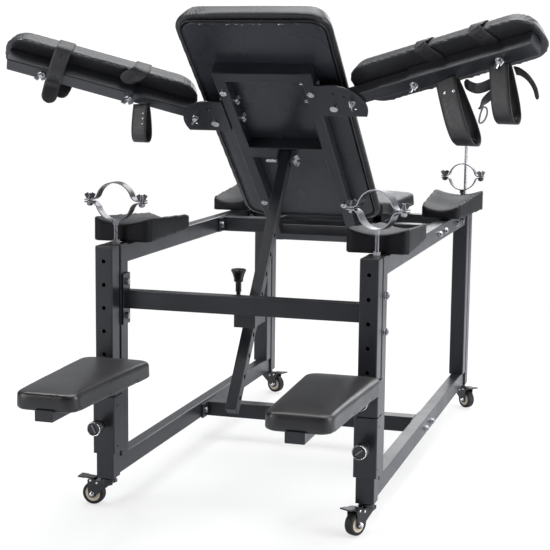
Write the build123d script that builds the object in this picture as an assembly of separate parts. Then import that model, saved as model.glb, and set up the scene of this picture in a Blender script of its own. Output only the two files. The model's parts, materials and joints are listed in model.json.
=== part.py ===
from build123d import *
from collections import namedtuple
import math
import os

# Adjustable padded bench on castors: a welded steel frame with a reclining
# backrest held by a drilled strut, two padded swinging arms with straps, a
# seat, four concave limb pads, four two-piece ring clamps and two padded
# platforms on sleeves that slide on the drilled rear posts.
# +Z is up, +X the right of a seated person and +Y the way they face.  The
# origin is on the floor under the centre of the overall box.  Millimetres.
# Parts are built about mid-frame, and save() moves them to the origin.

TO_ORIGIN = Pos(0, 194.1, 0)
SIDES = (-1, 1)                     # left, right (or rear, front)
NAMED_SIDES = ((1, "right"), (-1, "left"))
UP = (0, 0, 1)

# ---- frame ----
POST_X = 292.0                      # post centre line, each side
OUTER_Y = 602.0                     # outer post centre from mid-frame
INNER_Y = 553.0                     # inner post centre from mid-frame
HALF_POST = 20.0
WALL = 2.0
FRAME_Z = 65.0                      # underside of frame
TOP_Z = 577.0                       # nominal top of posts
TUBE_TOP = TOP_Z - 2                # where the post tubes end under their caps
ABOVE_CAP = TOP_Z + 2.4             # seat of whatever stands on a cap
HALF_RAIL = 15.0                    # half width of a side rail
RAIL_H = 40.0
RAIL_TOP = 574.0                    # top of the top rail
HOLE_TOP = 546.0                    # first adjustment hole
PITCH = 50.8                        # adjustment hole pitch
BOLT_HOLE = 4.3                     # radius of the frame bolt holes
PLATE = 5.0                         # end plate thickness

# Cross members: half width of the side tube each bolts to, centre y and z,
# half size of the tube in y and z, end plate size in y and z, and offset
# of the two bolts from the centre in y and z
Member = namedtuple("Member", "half y z tube_y tube_z plate_y plate_z bolt_y bolt_z")
CROSSBAR = Member(HALF_POST, -INNER_Y, 457.0, 15, 20, 38, 112, 0, 38)
LOW = Member(HALF_RAIL, 25.0, 81.0, 20, 19, 112, 36, 39, 0)
HINGE = Member(HALF_RAIL, 152.0, 553.0, 20, 19, 116, 36, 42, 0)
FRONT = Member(HALF_RAIL, 411.0, 553.0, 20, 19, 116, 36, 42, 0)
MEMBERS = (CROSSBAR, LOW, HINGE, FRONT)

# ---- backrest: "along" runs up its rails, "depth" forward from their rear ----
LEAN = math.radians(50.0)           # from vertical
FOOT_Y, FOOT_Z = 64.0, 526.0        # foot of the rear plane of the rails
BACK_X = 101.0                      # rail centre
BACK_W = 25.0                       # rail width
BACK_D = 30.0                       # rail depth
BACK_L = 656.0                      # rail length
BACK_IN = BACK_X - BACK_W / 2       # inner face of a rail
BACK_OUT = BACK_X + BACK_W / 2      # outer face of a rail
HINGE_ALONG, HINGE_DEPTH = 22.0, 15.0
PIVOT_HOLE = 5.05                   # radius of the pivot bolt holes
SMALL_HOLE = 3.3                    # radius of the board and bracket bolt holes
BOARD_BOLTS = (168, 591)            # along the rails
CUSHION_X = 178.0                   # backrest cushion half width
CUSHION_ALONG = (60.0, 806.0)
CUSHION_FRONT = 52.0                # cushion front face, in front of the rails

# ---- support strut ----
STRUT_ALONG, STRUT_BEHIND = 371.0, 20.0   # pivot, along and behind the rails
GUIDE_Y, GUIDE_Z = -479.0, 426.0          # pin axis in the strut guide
STRUT_L = 640.0                           # pivot to lower end of tube

# ---- arms ----
ARM_ANGLE = 23.5                    # above square to the rails, degrees
ARM_X = 146.0
ARM_ALONG = {1: 548.0, -1: 486.0}   # pivot height along the rail
BRACKET_PITCH = 62                  # between the two bolts of a bracket
STOP_RADIUS = 48                    # stop holes from the arm pivot
ARM_END = 492.0
ARM_REAR, ARM_FRONT = -1.0, -29.5   # faces of the inner tube, local z
ARM_PAD_R = (52.0, 508.0)           # cushion ends, along the arm
ARM_PAD_HALF = 64.0                 # cushion half width
ARM_PAD_BACK = ARM_FRONT - 3.4
ARM_PAD_FRONT = ARM_PAD_BACK - 40.0
STRAP_R = {1: (235, 352), -1: (176, 354)}

# ---- sleeves and platforms on the rear posts ----
HALF_SLEEVE = 25.0
LOW_SLEEVE_Z = (122.0, 249.0)
UP_SLEEVE_Z = (252.0, 325.0)
LOW_PIN = HOLE_TOP - 7 * PITCH
UP_PIN = HOLE_TOP - 5 * PITCH
PLATFORM_X = 250.0
PLATFORM_Y = (-1009.0, -642.0)
PLATFORM_Z = (311.0, 343.0)

os.makedirs("parts", exist_ok=True)


# ------------------------------------------------------------ helpers
def save(name, *shapes):
    solids = [solid for shape in shapes for solid in (TO_ORIGIN * shape).solids()]
    export_step(Compound(children=solids), f"parts/{name}.step")


def box(x0, x1, y0, y1, z0, z1):
    """box between limits; the two x or y limits may come in either order"""
    centre = Pos((x0 + x1) / 2, (y0 + y1) / 2, (z0 + z1) / 2)
    return centre * Box(abs(x1 - x0), abs(y1 - y0), z1 - z0)


def rounded_box(x0, x1, y0, y1, z0, z1, radius, axis=Axis.Z):
    return fillet(box(x0, x1, y0, y1, z0, z1).edges().filter_by(axis), radius)


def tube(x0, x1, y0, y1, z0, z1, axis, wall=WALL, radius=2.5):
    """open square tube along axis"""
    x0, x1 = sorted((x0, x1))
    outer = rounded_box(x0, x1, y0, y1, z0, z1, radius, axis)
    over = 5            # the bore runs past both ends
    if axis == Axis.Z:
        bore = box(x0 + wall, x1 - wall, y0 + wall, y1 - wall, z0 - over, z1 + over)
    elif axis == Axis.X:
        bore = box(x0 - over, x1 + over, y0 + wall, y1 - wall, z0 + wall, z1 - wall)
    else:
        bore = box(x0 + wall, x1 - wall, y0 - over, y1 + over, z0 + wall, z1 - wall)
    return outer - bore


def post_tube(x, y, z0):
    return tube(x - HALF_POST, x + HALF_POST, y - HALF_POST, y + HALF_POST,
                z0, TUBE_TOP, Axis.Z)


def stud(radius, length):
    """cylinder standing on the origin"""
    return Cylinder(radius, length, align=(Align.CENTER, Align.CENTER, Align.MIN))


def rod(start, direction, radius, length):
    return Plane(origin=start, z_dir=direction).location * stud(radius, length)


def x_rod(x, y, z, radius, length):
    """cylinder along X, centred on the point"""
    return Pos(x, y, z) * Rot(0, 90, 0) * Cylinder(radius, length)


def y_rod(x, y, z, radius, length):
    """cylinder along Y, centred on the point"""
    return Pos(x, y, z) * Rot(90, 0, 0) * Cylinder(radius, length)


def hexagon(start, direction, across_flats, length):
    profile = RegularPolygon(across_flats / 2, 6, major_radius=False)
    return Plane(origin=start, z_dir=direction).location * extrude(profile, length)


def wing(size, turn):
    """wing nut or wing bolt head standing on the origin"""
    nut = stud(5.2 * size, 6 * size)
    for q in (1, -1):
        ear = Box(9.5 * size, 2.2 * size, 11 * size)
        nut += Pos(q * 6.0 * size, 0, 7.3 * size) * Rot(0, q * 28, 0) * ear
    return Rot(0, 0, turn) * nut


# ------------------------------------------------------------ side frames
def side_frame(side):
    x = side * POST_X
    x0, x1 = x - HALF_RAIL, x + HALF_RAIL
    post_out, post_in = INNER_Y + HALF_POST, INNER_Y - HALF_POST
    frame = tube(x0, x1, -post_out, post_out, FRAME_Z, FRAME_Z + RAIL_H, Axis.Y)
    for end in SIDES:
        frame += post_tube(x, end * INNER_Y, FRAME_Z + RAIL_H)
        # spacer blocks that carry the outer post at both ends
        y0, y1 = end * post_out, end * (OUTER_Y - HALF_POST)
        frame += box(x - 14, x + 14, y0, y1, TOP_Z - 22, TOP_Z - 6)
        frame += box(x0, x1, y0, y1, FRAME_Z + 6, FRAME_Z + 26)
    frame += tube(x0, x1, -post_in, post_in, RAIL_TOP - RAIL_H, RAIL_TOP, Axis.Y)
    for m in MEMBERS:
        for q in SIDES:
            frame -= x_rod(x, m.y + q * m.bolt_y, m.z + q * m.bolt_z, BOLT_HOLE, 60)
    return frame


save("side_frame_left", side_frame(-1))
save("side_frame_right", side_frame(1))


def outer_post(x, y):
    """post drilled for the height pins"""
    post = post_tube(x, y, FRAME_Z)
    for k in range(9):
        post -= rod((x, y - 30, HOLE_TOP - k * PITCH), (0, 1, 0), 4.5, 60)
    return post


save("outer_posts", *[outer_post(sx * POST_X, sy * OUTER_Y) for sx in SIDES for sy in SIDES])


def post_cap(x, y):
    """moulded end cap: a plug inside the tube and a low domed top"""
    split = TOP_Z - 1.9
    top = rounded_box(x - HALF_POST, x + HALF_POST, y - HALF_POST, y + HALF_POST,
                      split, TOP_Z + 2.2, 3)
    top = fillet(top.faces().sort_by(Axis.Z)[-1].edges(), 1.6)
    cap = top + box(x - 17.8, x + 17.8, y - 17.8, y + 17.8, TOP_Z - 16, split)
    if abs(y) == INNER_Y:           # hole for the stem of a ring clamp
        cap -= rod((x, y, TOP_Z - 20), UP, 5.05, 30)
    return cap


save("post_caps", *[post_cap(side * POST_X, y) for side in SIDES
                    for y in (-OUTER_Y, -INNER_Y, INNER_Y, OUTER_Y)])


# ------------------------------------------------------------ cross members
def end_plate(side, m):
    """plate on the inner face of a post or rail, with two bolt holes"""
    face = side * (POST_X - m.half)
    plate = box(face, face - side * PLATE, m.y - m.plate_y / 2, m.y + m.plate_y / 2,
                m.z - m.plate_z / 2, m.z + m.plate_z / 2)
    for q in (1, -1):
        plate -= x_rod(face, m.y + q * m.bolt_y, m.z + q * m.bolt_z, BOLT_HOLE, 20)
    return plate


def cross_member(m):
    end = POST_X - m.half - PLATE
    bar = tube(-end, end, m.y - m.tube_y, m.y + m.tube_y,
               m.z - m.tube_z, m.z + m.tube_z, Axis.X)
    return bar + (end_plate(1, m) + end_plate(-1, m))


save("rear_crossbar", cross_member(CROSSBAR))
save("low_cross_tube", cross_member(LOW))


def back_point(along, depth):
    """frame y and z of a point on the backrest"""
    return (FOOT_Y - along * math.sin(LEAN) + depth * math.cos(LEAN),
            FOOT_Z + along * math.cos(LEAN) + depth * math.sin(LEAN))


HINGE_Y, HINGE_Z = back_point(HINGE_ALONG, HINGE_DEPTH)


def hinge_cross_tube():
    """cross tube with two lugs that hold the backrest pivots"""
    piece = cross_member(HINGE)
    for side in SIDES:
        x0 = side * (BACK_OUT + 1.0)
        x1 = x0 + side * 5
        lug = box(x0, x1, HINGE_Y, HINGE.y - 19, HINGE_Z - 15, HINGE_Z + 15)
        lug += x_rod((x0 + x1) / 2, HINGE_Y, HINGE_Z, 15, 5)
        lug -= x_rod(x0, HINGE_Y, HINGE_Z, PIVOT_HOLE, 20)
        piece += lug
    return piece


save("hinge_cross_tube", hinge_cross_tube())


# ------------------------------------------------------------ seat and limb pads
def seat_frame():
    """front cross tube and the two runners that carry the seat"""
    frame = cross_member(FRONT)
    for side in SIDES:
        x = side * 140
        frame += tube(x - 12.5, x + 12.5, HINGE.y - 18, 470,
                      FRONT.z + 19, FRONT.z + 39, Axis.Y)
    return frame


save("seat_frame", seat_frame())

seat = rounded_box(-180, 180, 118, 492, FRONT.z + 39.6, FRONT.z + 76, 45)
seat = fillet(seat.faces().sort_by(Axis.Z)[-1].edges(), 14)
save("seat_cushion", seat)

LIMB_PAD_X = 287.0
LIMB_PAD_DIP = 10.0
# distance from mid-frame, half width, rim height: thin end, thick end
LIMB_PAD_ENDS = ((225.0, 50.0, 32.0), (538.0, 69.0, 51.0))


def limb_pad(side, end):
    """saddle-topped wedge, wide and thick at the outer end"""
    def profile(y, w, rim):
        with BuildLine() as outline:
            Line((-w, 0), (w, 0))
            Line((w, 0), (w, rim))
            ThreePointArc((w, rim), (0, rim - LIMB_PAD_DIP), (-w, rim))
            Line((-w, rim), (-w, 0))
        plane = Plane(origin=(side * LIMB_PAD_X, end * y, TOP_Z + 2.6),
                      x_dir=(1, 0, 0), z_dir=(0, -1, 0))
        return plane * make_face(outline.line.edges())

    body = loft([profile(*station) for station in LIMB_PAD_ENDS])
    return fillet(body.edges().filter_by(Axis.Z), 16)


save("limb_pads", *[limb_pad(sx, sy) for sx in SIDES for sy in SIDES])


# ------------------------------------------------------------ strut guide
def strut_guide():
    """plate on the front face of the rear crossbar, with two ears for the pin"""
    back = CROSSBAR.y + 15.2
    guide = box(-24, 24, back, back + 4, CROSSBAR.z - 52, CROSSBAR.z + 18)
    for side in SIDES:
        guide += box(side * 20, side * 24, back, GUIDE_Y + 16, GUIDE_Z - 18, GUIDE_Z + 18)
    return guide - x_rod(0, GUIDE_Y, GUIDE_Z, 5.2, 80)


save("strut_guide", strut_guide())


# ------------------------------------------------------------ frame hardware
def frame_bolt(side, inner, outer, y, z):
    """M8 bolt between two faces: head inside, washer and nut outside"""
    out, back = (side, 0, 0), (-side, 0, 0)
    nut_seat = (side * (outer + 0.05), y, z)
    bolt = rod((side * (inner - 6.5), y, z), out, 4.0, outer - inner + 6.5 + 9)
    bolt += hexagon((side * (inner - 0.05), y, z), back, 13, 5.5)
    bolt += hexagon(nut_seat, out, 13, 6.5)
    return bolt + rod(nut_seat, out, 8, 1.4)


def hinge_bolt(side):
    """backrest pivot bolt through lug and rail"""
    start, head = BACK_IN - 6, BACK_OUT + 6.2
    out = (side, 0, 0)
    bolt = rod((side * start, HINGE_Y, HINGE_Z), out, 5.0, head - start + 4)
    return bolt + rod((side * head, HINGE_Y, HINGE_Z), out, 9, 4)


def upright_rod():
    """tall round-tipped rod on the front right outer post"""
    foot = (POST_X, OUTER_Y, ABOVE_CAP)
    upright = rod(foot, UP, 4.0, 176)
    upright += Pos(POST_X, OUTER_Y, ABOVE_CAP + 176) * Sphere(4.0)
    return upright + hexagon(foot, UP, 17, 8)


hardware = []
for side in SIDES:
    for m in MEMBERS:
        for q in SIDES:
            hardware.append(frame_bolt(side, POST_X - m.half - PLATE, POST_X + m.half,
                                       m.y + q * m.bolt_y, m.z + q * m.bolt_z))
    hardware.append(hinge_bolt(side))
hardware.append(upright_rod())
save("frame_hardware", *hardware)

# ------------------------------------------------------------ backrest
# Local frame: x, y along the rails, z out of the rear face (z = -depth)
BACK = Plane(origin=(0, FOOT_Y, FOOT_Z), x_dir=(1, 0, 0),
             z_dir=(0, -math.cos(LEAN), -math.sin(LEAN))).location
BRACKET_HOLES = (ARM_ALONG[-1], ARM_ALONG[1], ARM_ALONG[1] + BRACKET_PITCH)
CROSS_ALONG = ((0, 30), (352, 390), (BACK_L - 28, BACK_L))   # backrest cross tubes


def back_tube(x0, x1, y0, y1, axis):
    return tube(x0, x1, y0, y1, -BACK_D, 0, axis, radius=2.0)


def back_rail(side):
    x = side * BACK_X
    rail = back_tube(x - BACK_W / 2, x + BACK_W / 2, 0, BACK_L, Axis.Y)
    rail -= x_rod(0, HINGE_ALONG, -HINGE_DEPTH, PIVOT_HOLE, 600)
    for y in BRACKET_HOLES:
        rail -= x_rod(x, y, -HINGE_DEPTH, SMALL_HOLE, 40)
    for y in BOARD_BOLTS:
        rail -= Pos(x, y, -BACK_D / 2) * Cylinder(SMALL_HOLE, 60)
    return rail


def backrest_frame():
    frame = back_rail(-1) + back_rail(1)
    end = BACK_IN + 2.6             # cross tubes run into the rail walls
    for y0, y1 in CROSS_ALONG:
        frame += back_tube(-end, end, y0, y1, Axis.X)
    # strut lugs on the middle cross tube
    for side in SIDES:
        lug = box(side * 14, side * 18, STRUT_ALONG - 15, STRUT_ALONG + 15,
                  -0.5, STRUT_BEHIND)
        lug += x_rod(side * 16, STRUT_ALONG, STRUT_BEHIND, 15, 4)
        lug -= x_rod(0, STRUT_ALONG, STRUT_BEHIND, PIVOT_HOLE, 60)
        frame += lug
    # rail end plugs
    for side in SIDES:
        x = side * BACK_X
        frame += box(x - 10.5, x + 10.5, BACK_L - 12, BACK_L + 1, 2 - BACK_D, -2)
    return frame


save("backrest_frame", BACK * backrest_frame())


def back_panel(inset, front, rear, radius):
    """round-cornered slab inset from the cushion outline; front and rear are depths"""
    return rounded_box(-CUSHION_X + inset, CUSHION_X - inset,
                       CUSHION_ALONG[0] + inset, CUSHION_ALONG[1] - inset,
                       -front, -rear, radius)


board = back_panel(18, BACK_D + 12, BACK_D + 0.2, 34)
for side in SIDES:
    for y in BOARD_BOLTS:
        board -= Pos(side * BACK_X, y, -BACK_D - 5) * Cylinder(SMALL_HOLE, 30)
save("backrest_board", BACK * board)

cushion = back_panel(0, BACK_D + CUSHION_FRONT, BACK_D + 1.0, 46)
cushion = fillet(cushion.faces().sort_by(Axis.Z)[0].edges(), 15)
cushion -= back_panel(17.6, BACK_D + 12.4, BACK_D - 2, 34.4)    # recess for the board
save("backrest_cushion", BACK * cushion)


def arm_bracket(side):
    """sector plate with an arc of stop holes, and a flange on the rail side"""
    pivot = ARM_ALONG[side]
    radius = 76.0
    x_in = BACK_OUT + 0.4
    y0, y1 = pivot - 29, pivot + 74
    plate = Pos(ARM_X, pivot, 1.5) * Cylinder(radius, 3)
    plate = plate & box(x_in, ARM_X + radius + 5, y0, pivot + radius + 5, -5, 10)
    plate += box(x_in, ARM_X, y0, y1, 0, 3)
    plate += box(x_in, x_in + 3, y0, y1, -BACK_D + 2, 3)
    plate -= Pos(ARM_X, pivot, 0) * Cylinder(PIVOT_HOLE, 20)
    for k in (-1, 0, 1, 2):
        angle = math.radians(ARM_ANGLE + 30 * k)
        plate -= Pos(ARM_X + STOP_RADIUS * math.cos(angle),
                     pivot + STOP_RADIUS * math.sin(angle), 0) * Cylinder(3.6, 20)
    for y in (pivot, pivot + BRACKET_PITCH):
        plate -= x_rod(x_in + 1.5, y, -HINGE_DEPTH, SMALL_HOLE, 20)
    plate = Pos(0, 0, 0.3) * plate
    if side < 0:
        plate = mirror(plate, Plane.YZ)
    return BACK * plate


save("arm_brackets", arm_bracket(1), arm_bracket(-1))


# ------------------------------------------------------------ arms
# Local frame: x out along the arm, y across it (upward on the right arm,
# downward on the left), z out of the rear face
def arm_location(side):
    angle = ARM_ANGLE if side > 0 else 180 - ARM_ANGLE
    return BACK * Pos(side * ARM_X, ARM_ALONG[side], 0) * Rot(0, 0, angle)


def arm_inner():
    inner = tube(-17, 330, -16.5, 16.5, ARM_FRONT, ARM_REAR, Axis.X)
    inner += box(-17, -14, -14.5, 14.5, ARM_FRONT + 2, ARM_REAR - 2)
    return inner - Pos(0, 0, -15) * Cylinder(PIVOT_HOLE, 60)


def arm_outer():
    outer = tube(200, ARM_END, -20, 20, ARM_FRONT - 3.0, ARM_REAR + 3.0, Axis.X,
                 wall=2.4, radius=3)
    return outer + box(ARM_END - 4, ARM_END + 1, -17.6, 17.6,
                       ARM_FRONT - 0.6, ARM_REAR + 0.6)


def arm_cushion():
    pad = rounded_box(*ARM_PAD_R, -ARM_PAD_HALF, ARM_PAD_HALF,
                      ARM_PAD_FRONT, ARM_PAD_BACK, 52)
    return fillet(pad.faces().sort_by(Axis.Z)[0].edges(), 14)


def arm_strap(x):
    """rectangular loop round the cushion and the arm"""
    def block(half, gap, rear):
        return box(x - half, x + half, -ARM_PAD_HALF - gap, ARM_PAD_HALF + gap,
                   ARM_PAD_FRONT - gap, ARM_REAR + rear)

    return block(14, 4.0, 7.0) - block(20, 1.5, 4.5)


def arm_fastener(x):
    """washer and wing head on the rear face of the outer tube"""
    return Pos(x, 0, ARM_REAR + 3.1) * stud(9, 1.4) + Pos(x, 0, ARM_REAR + 4.4) * wing(1.2, 20)


for side, name in NAMED_SIDES:
    place = arm_location(side)
    save(f"arm_inner_{name}", place * arm_inner())
    save(f"arm_outer_{name}", place * arm_outer())
    save(f"arm_cushion_{name}", place * arm_cushion())
    save(f"arm_straps_{name}", *[place * arm_strap(x) for x in STRAP_R[side]])
    save(f"arm_fasteners_{name}", *[place * arm_fastener(x) for x in (207, 411)])


# ------------------------------------------------------------ backrest fasteners
def board_bolt(side, y):
    x = side * BACK_X
    return Pos(x, y, -4.0 - BACK_D) * stud(3.0, BACK_D + 12) + Pos(x, y, 0.05) * stud(8.0, 3.6)


def bracket_bolt(side, y):
    """cross bolt of an arm bracket, with its wing nut inside the frame"""
    def facing(x, way):
        return Pos(side * x, y, -HINGE_DEPTH) * Rot(0, way * side * 90, 0)

    bolt = facing(BACK_IN - 8, 1) * stud(3.0, BACK_W + 8 + 6.2)
    bolt += facing(BACK_OUT + 3.6, 1) * stud(6.5, 4)
    return bolt + facing(BACK_IN - 0.1, -1) * wing(0.9, 35)


def strut_bolt():
    """strut pivot bolt and its wing nut"""
    bolt = Pos(-46, STRUT_ALONG, STRUT_BEHIND) * Rot(0, 90, 0) * stud(5.0, 66)
    return bolt + Pos(18.2, STRUT_ALONG, STRUT_BEHIND) * Rot(0, 90, 0) * wing(1.15, 60)


def arm_pivot_bolt():
    """bolt through the sector plate and the inner tube"""
    return Pos(0, 0, ARM_FRONT) * stud(5.0, 5.0 - ARM_FRONT) + Pos(0, 0, 3.45) * stud(9.0, 4.5)


def stop_bolt():
    """wing bolt in the stop hole in line with the arm"""
    bolt = Pos(STOP_RADIUS, 0, 0.4) * stud(3.4, 3.2)
    bolt += Pos(STOP_RADIUS, 0, 3.5) * stud(7.5, 1.4)
    return bolt + Pos(STOP_RADIUS, 0, 4.8) * wing(1.1, 70)


fasteners = []
for side in SIDES:
    fasteners += [BACK * board_bolt(side, y) for y in BOARD_BOLTS]
    pivot = ARM_ALONG[side]
    fasteners += [BACK * bracket_bolt(side, y) for y in (pivot, pivot + BRACKET_PITCH)]
fasteners.append(BACK * strut_bolt())
for side in (1, -1):
    fasteners += [arm_location(side) * arm_pivot_bolt(), arm_location(side) * stop_bolt()]
save("backrest_fasteners", *fasteners)


# ------------------------------------------------------------ strut and its pin
def support_strut():
    """drilled square tube from the backrest pivot down through the guide"""
    y, z = back_point(STRUT_ALONG, -STRUT_BEHIND)
    dy, dz = GUIDE_Y - y, GUIDE_Z - z
    to_pin = math.hypot(dy, dz)
    strut = tube(-12.5, 12.5, -12.5, 12.5, -16, STRUT_L, Axis.Z, radius=2.0)
    strut -= x_rod(0, 0, 0, PIVOT_HOLE, 60)
    for k in range(-4, 5):
        strut -= x_rod(0, 0, to_pin + k * PITCH, 5.4, 60)
    strut += box(-10.5, 10.5, -10.5, 10.5, STRUT_L - 12, STRUT_L + 1)
    place = Plane(origin=(0, y, z), x_dir=(1, 0, 0), z_dir=(0, dy / to_pin, dz / to_pin))
    return place.location * strut


save("support_strut", support_strut())


def locking_pin():
    """L-shaped pin on the left of the strut, with a flared knob on top"""
    x = -33.2
    pin = rod((-13.2, GUIDE_Y, GUIDE_Z), (-1, 0, 0), 4.9, 20.0)
    pin += rod((x, GUIDE_Y, GUIDE_Z - 4.9), UP, 4.9, 60)
    pin += rod((x, GUIDE_Y, GUIDE_Z + 48), UP, 6.5, 26)
    knob = Cone(9, 16, 24, align=(Align.CENTER, Align.CENTER, Align.MIN))
    return pin + Pos(x, GUIDE_Y, GUIDE_Z + 72) * knob


save("locking_pin", locking_pin())


# ------------------------------------------------------------ sleeves, carriers
def sleeve(side, z0, z1, pin_z):
    x, y = side * POST_X, -OUTER_Y
    half, bore = HALF_SLEEVE, 20.8
    body = rounded_box(x - half, x + half, y - half, y + half, z0, z1, 3)
    body = body - box(x - bore, x + bore, y - bore, y + bore, z0 - 5, z1 + 5)
    # boss for the pull pin
    body += rod((x, y - half + 0.5, pin_z), (0, -1, 0), 9.5, 9.5)
    return body - rod((x, y - 20, pin_z), (0, -1, 0), 4.6, 40)


def wall_hole(side, face, z):
    """small hole through the sleeve wall on its +X (face 1) or -X (face -1) side"""
    return x_rod(side * POST_X + face * 24, -OUTER_Y - 8, z, 2.6, 10)


def lower_sleeve(side):
    body = sleeve(side, *LOW_SLEEVE_Z, LOW_PIN)
    for z in (137.4, 229.7):
        body -= wall_hole(side, 1, z)
        body -= wall_hole(side, -1, z)
    return body


def platform_carrier(side):
    """upper sleeve with a flat support tube beside it, and a gusset"""
    body = sleeve(side, *UP_SLEEVE_Z, UP_PIN)
    body -= wall_hole(side, 1, 302.5)
    x0 = 229
    x1 = POST_X - HALF_SLEEVE + 0.3     # bites into the sleeve
    rear, front = PLATFORM_Y[0] - 2, -OUTER_Y + 20
    z = PLATFORM_Z[0]
    arm = tube(side * x0, side * x1, rear, front, z - 22.5, z - 0.5, Axis.Y, radius=2.0)
    arm += box(side * (x0 + 1), side * (x1 - 1), rear, rear + 3, z - 21.5, z - 1.5)
    arm += box(side * 262, side * x1, -OUTER_Y - HALF_SLEEVE, front,
               UP_SLEEVE_Z[0] + 4, z - 10)
    return body + arm


def platform_cushion(side):
    """padded platform, a little wider at the post end"""
    rear, front = PLATFORM_Y
    outline = Polyline((-64, rear), (64, rear), (78, front), (-78, front), close=True)
    face = Pos(side * PLATFORM_X, 0, 0) * make_face(outline.edges())
    pad = extrude(Plane.XY.offset(PLATFORM_Z[0]) * face, PLATFORM_Z[1] - PLATFORM_Z[0])
    pad = fillet(pad.edges().filter_by(Axis.Z), 26)
    return fillet(pad.faces().sort_by(Axis.Z)[-1].edges(), 9)


def pull_pin(side, z):
    def rearward(offset, radius, length):
        return rod((side * POST_X, -OUTER_Y - offset, z), (0, -1, 0), radius, length)

    pin = rearward(20.6, 4.5, 24) + rearward(HALF_SLEEVE + 9.4, 8.0, 22)
    knob = rearward(HALF_SLEEVE + 31, 16.0, 24)
    return pin + fillet(knob.edges().filter_by(GeomType.CIRCLE), 2.0)


for side, name in NAMED_SIDES:
    save(f"lower_sleeve_{name}", lower_sleeve(side))
    save(f"platform_carrier_{name}", platform_carrier(side))
    save(f"platform_cushion_{name}", platform_cushion(side))
    save(f"pull_pin_lower_{name}", pull_pin(side, LOW_PIN))
    save(f"pull_pin_upper_{name}", pull_pin(side, UP_PIN))

# ------------------------------------------------------------ castors
# name: x, y, yaw in degrees
CASTORS = {
    "rear_left": (-POST_X, -OUTER_Y, 180.0),
    "rear_right": (POST_X, -OUTER_Y, -118.0),
    "front_left": (-POST_X, OUTER_Y, -20.0),
    "front_right": (POST_X, OUTER_Y, -42.0),
}
TRAIL = 34.0
WHEEL_R = 25.0
PEDAL_X, PEDAL_Z = 37.0, 55.2       # brake pedal pin
# cheek outline: x from the swivel axis, z
CHEEK = ((-15, 57), (30, 57), (33, 60), (41, 60), (44.5, 56), (43, 22),
         (38, 16.5), (30, 16.5), (25, 22), (-4, 46), (-15, 50))


def castor_fork():
    """swivel head, two cheeks and the axle"""
    fork = Pos(0, 0, 52.5) * stud(17, 9)
    fork += Pos(0, 0, 61) * stud(7.0, 3.4)
    cheek = make_face(Polyline(*CHEEK, close=True).edges())
    cheek = extrude(Plane.XZ.offset(-1.25) * cheek, 2.5)
    for q in SIDES:
        fork += Pos(0, q * 13.2, 0) * cheek
    fork += box(-15, 26, -14, 14, 53, 57)
    fork += y_rod(TRAIL, 0, WHEEL_R, 4.0, 31)
    for q in SIDES:
        axle_nut = extrude(RegularPolygon(6, 6), 2.0, both=True)
        fork += Pos(TRAIL, q * 15.9, WHEEL_R) * Rot(90, 0, 0) * axle_nut
        # two rivets on the cheek
        for x, z in ((22, 51), (PEDAL_X, PEDAL_Z)):
            fork += y_rod(x, q * 14.6, z, 2.4, 2.2)
    return fork


def castor_wheel():
    wheel = y_rod(0, 0, 0, WHEEL_R, 20)
    wheel = fillet(wheel.edges().filter_by(GeomType.CIRCLE), 3.5)
    wheel -= y_rod(0, 0, 0, 4.05, 60)
    return Pos(TRAIL, 0, WHEEL_R) * wheel


def castor_pedal():
    """brake pedal: a sloping tread plate at the wheel end of the fork, on its own pin"""
    pedal = Pos(49, 0, 60.4) * Rot(0, -4, 0) * Box(36, 22, 3)
    pedal += Pos(60, 0, 61.17) * Rot(0, -4, 0) * Box(16, 27, 3)
    pedal += box(PEDAL_X - 4.5, PEDAL_X + 4.5, -11, 11, 52.8, 59.4)
    return pedal + y_rod(PEDAL_X, 0, PEDAL_Z, 2.6, 23.2)


for name, (x, y, yaw) in CASTORS.items():
    place = Pos(x, y, 0) * Rot(0, 0, yaw)
    save(f"castor_fork_{name}", place * castor_fork())
    save(f"castor_wheel_{name}", place * castor_wheel())
    save(f"castor_pedal_{name}", place * castor_pedal())

# ------------------------------------------------------------ ring clamps
RING_W = 26.0
HALF_T = 1.2                # half the strip thickness
EAR_Z = 2.4                 # middle of each ear above the split
EAR_FACE = EAR_Z + HALF_T

# radius of the middle line, angle where the arc ends, bolt distance, split height
Ring = namedtuple("Ring", "x y yaw radius end_angle bolt_x split_z")
RINGS = {
    "rear_left": Ring(-POST_X, -INNER_Y, 0.0, 41.5, 20.0, 61.0, 670.0),
    "rear_right": Ring(POST_X, -INNER_Y, -16.0, 41.5, 20.0, 61.0, 674.0),
    "front_left": Ring(-POST_X, INNER_Y, 0.0, 36.5, 16.0, 50.5, 667.0),
    "front_right": Ring(POST_X, INNER_Y, 0.0, 36.5, 16.0, 50.5, 667.0),
}


def polar(centre, radius, degrees):
    angle = math.radians(degrees)
    return (centre[0] + radius * math.cos(angle), centre[1] + radius * math.sin(angle))


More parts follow.
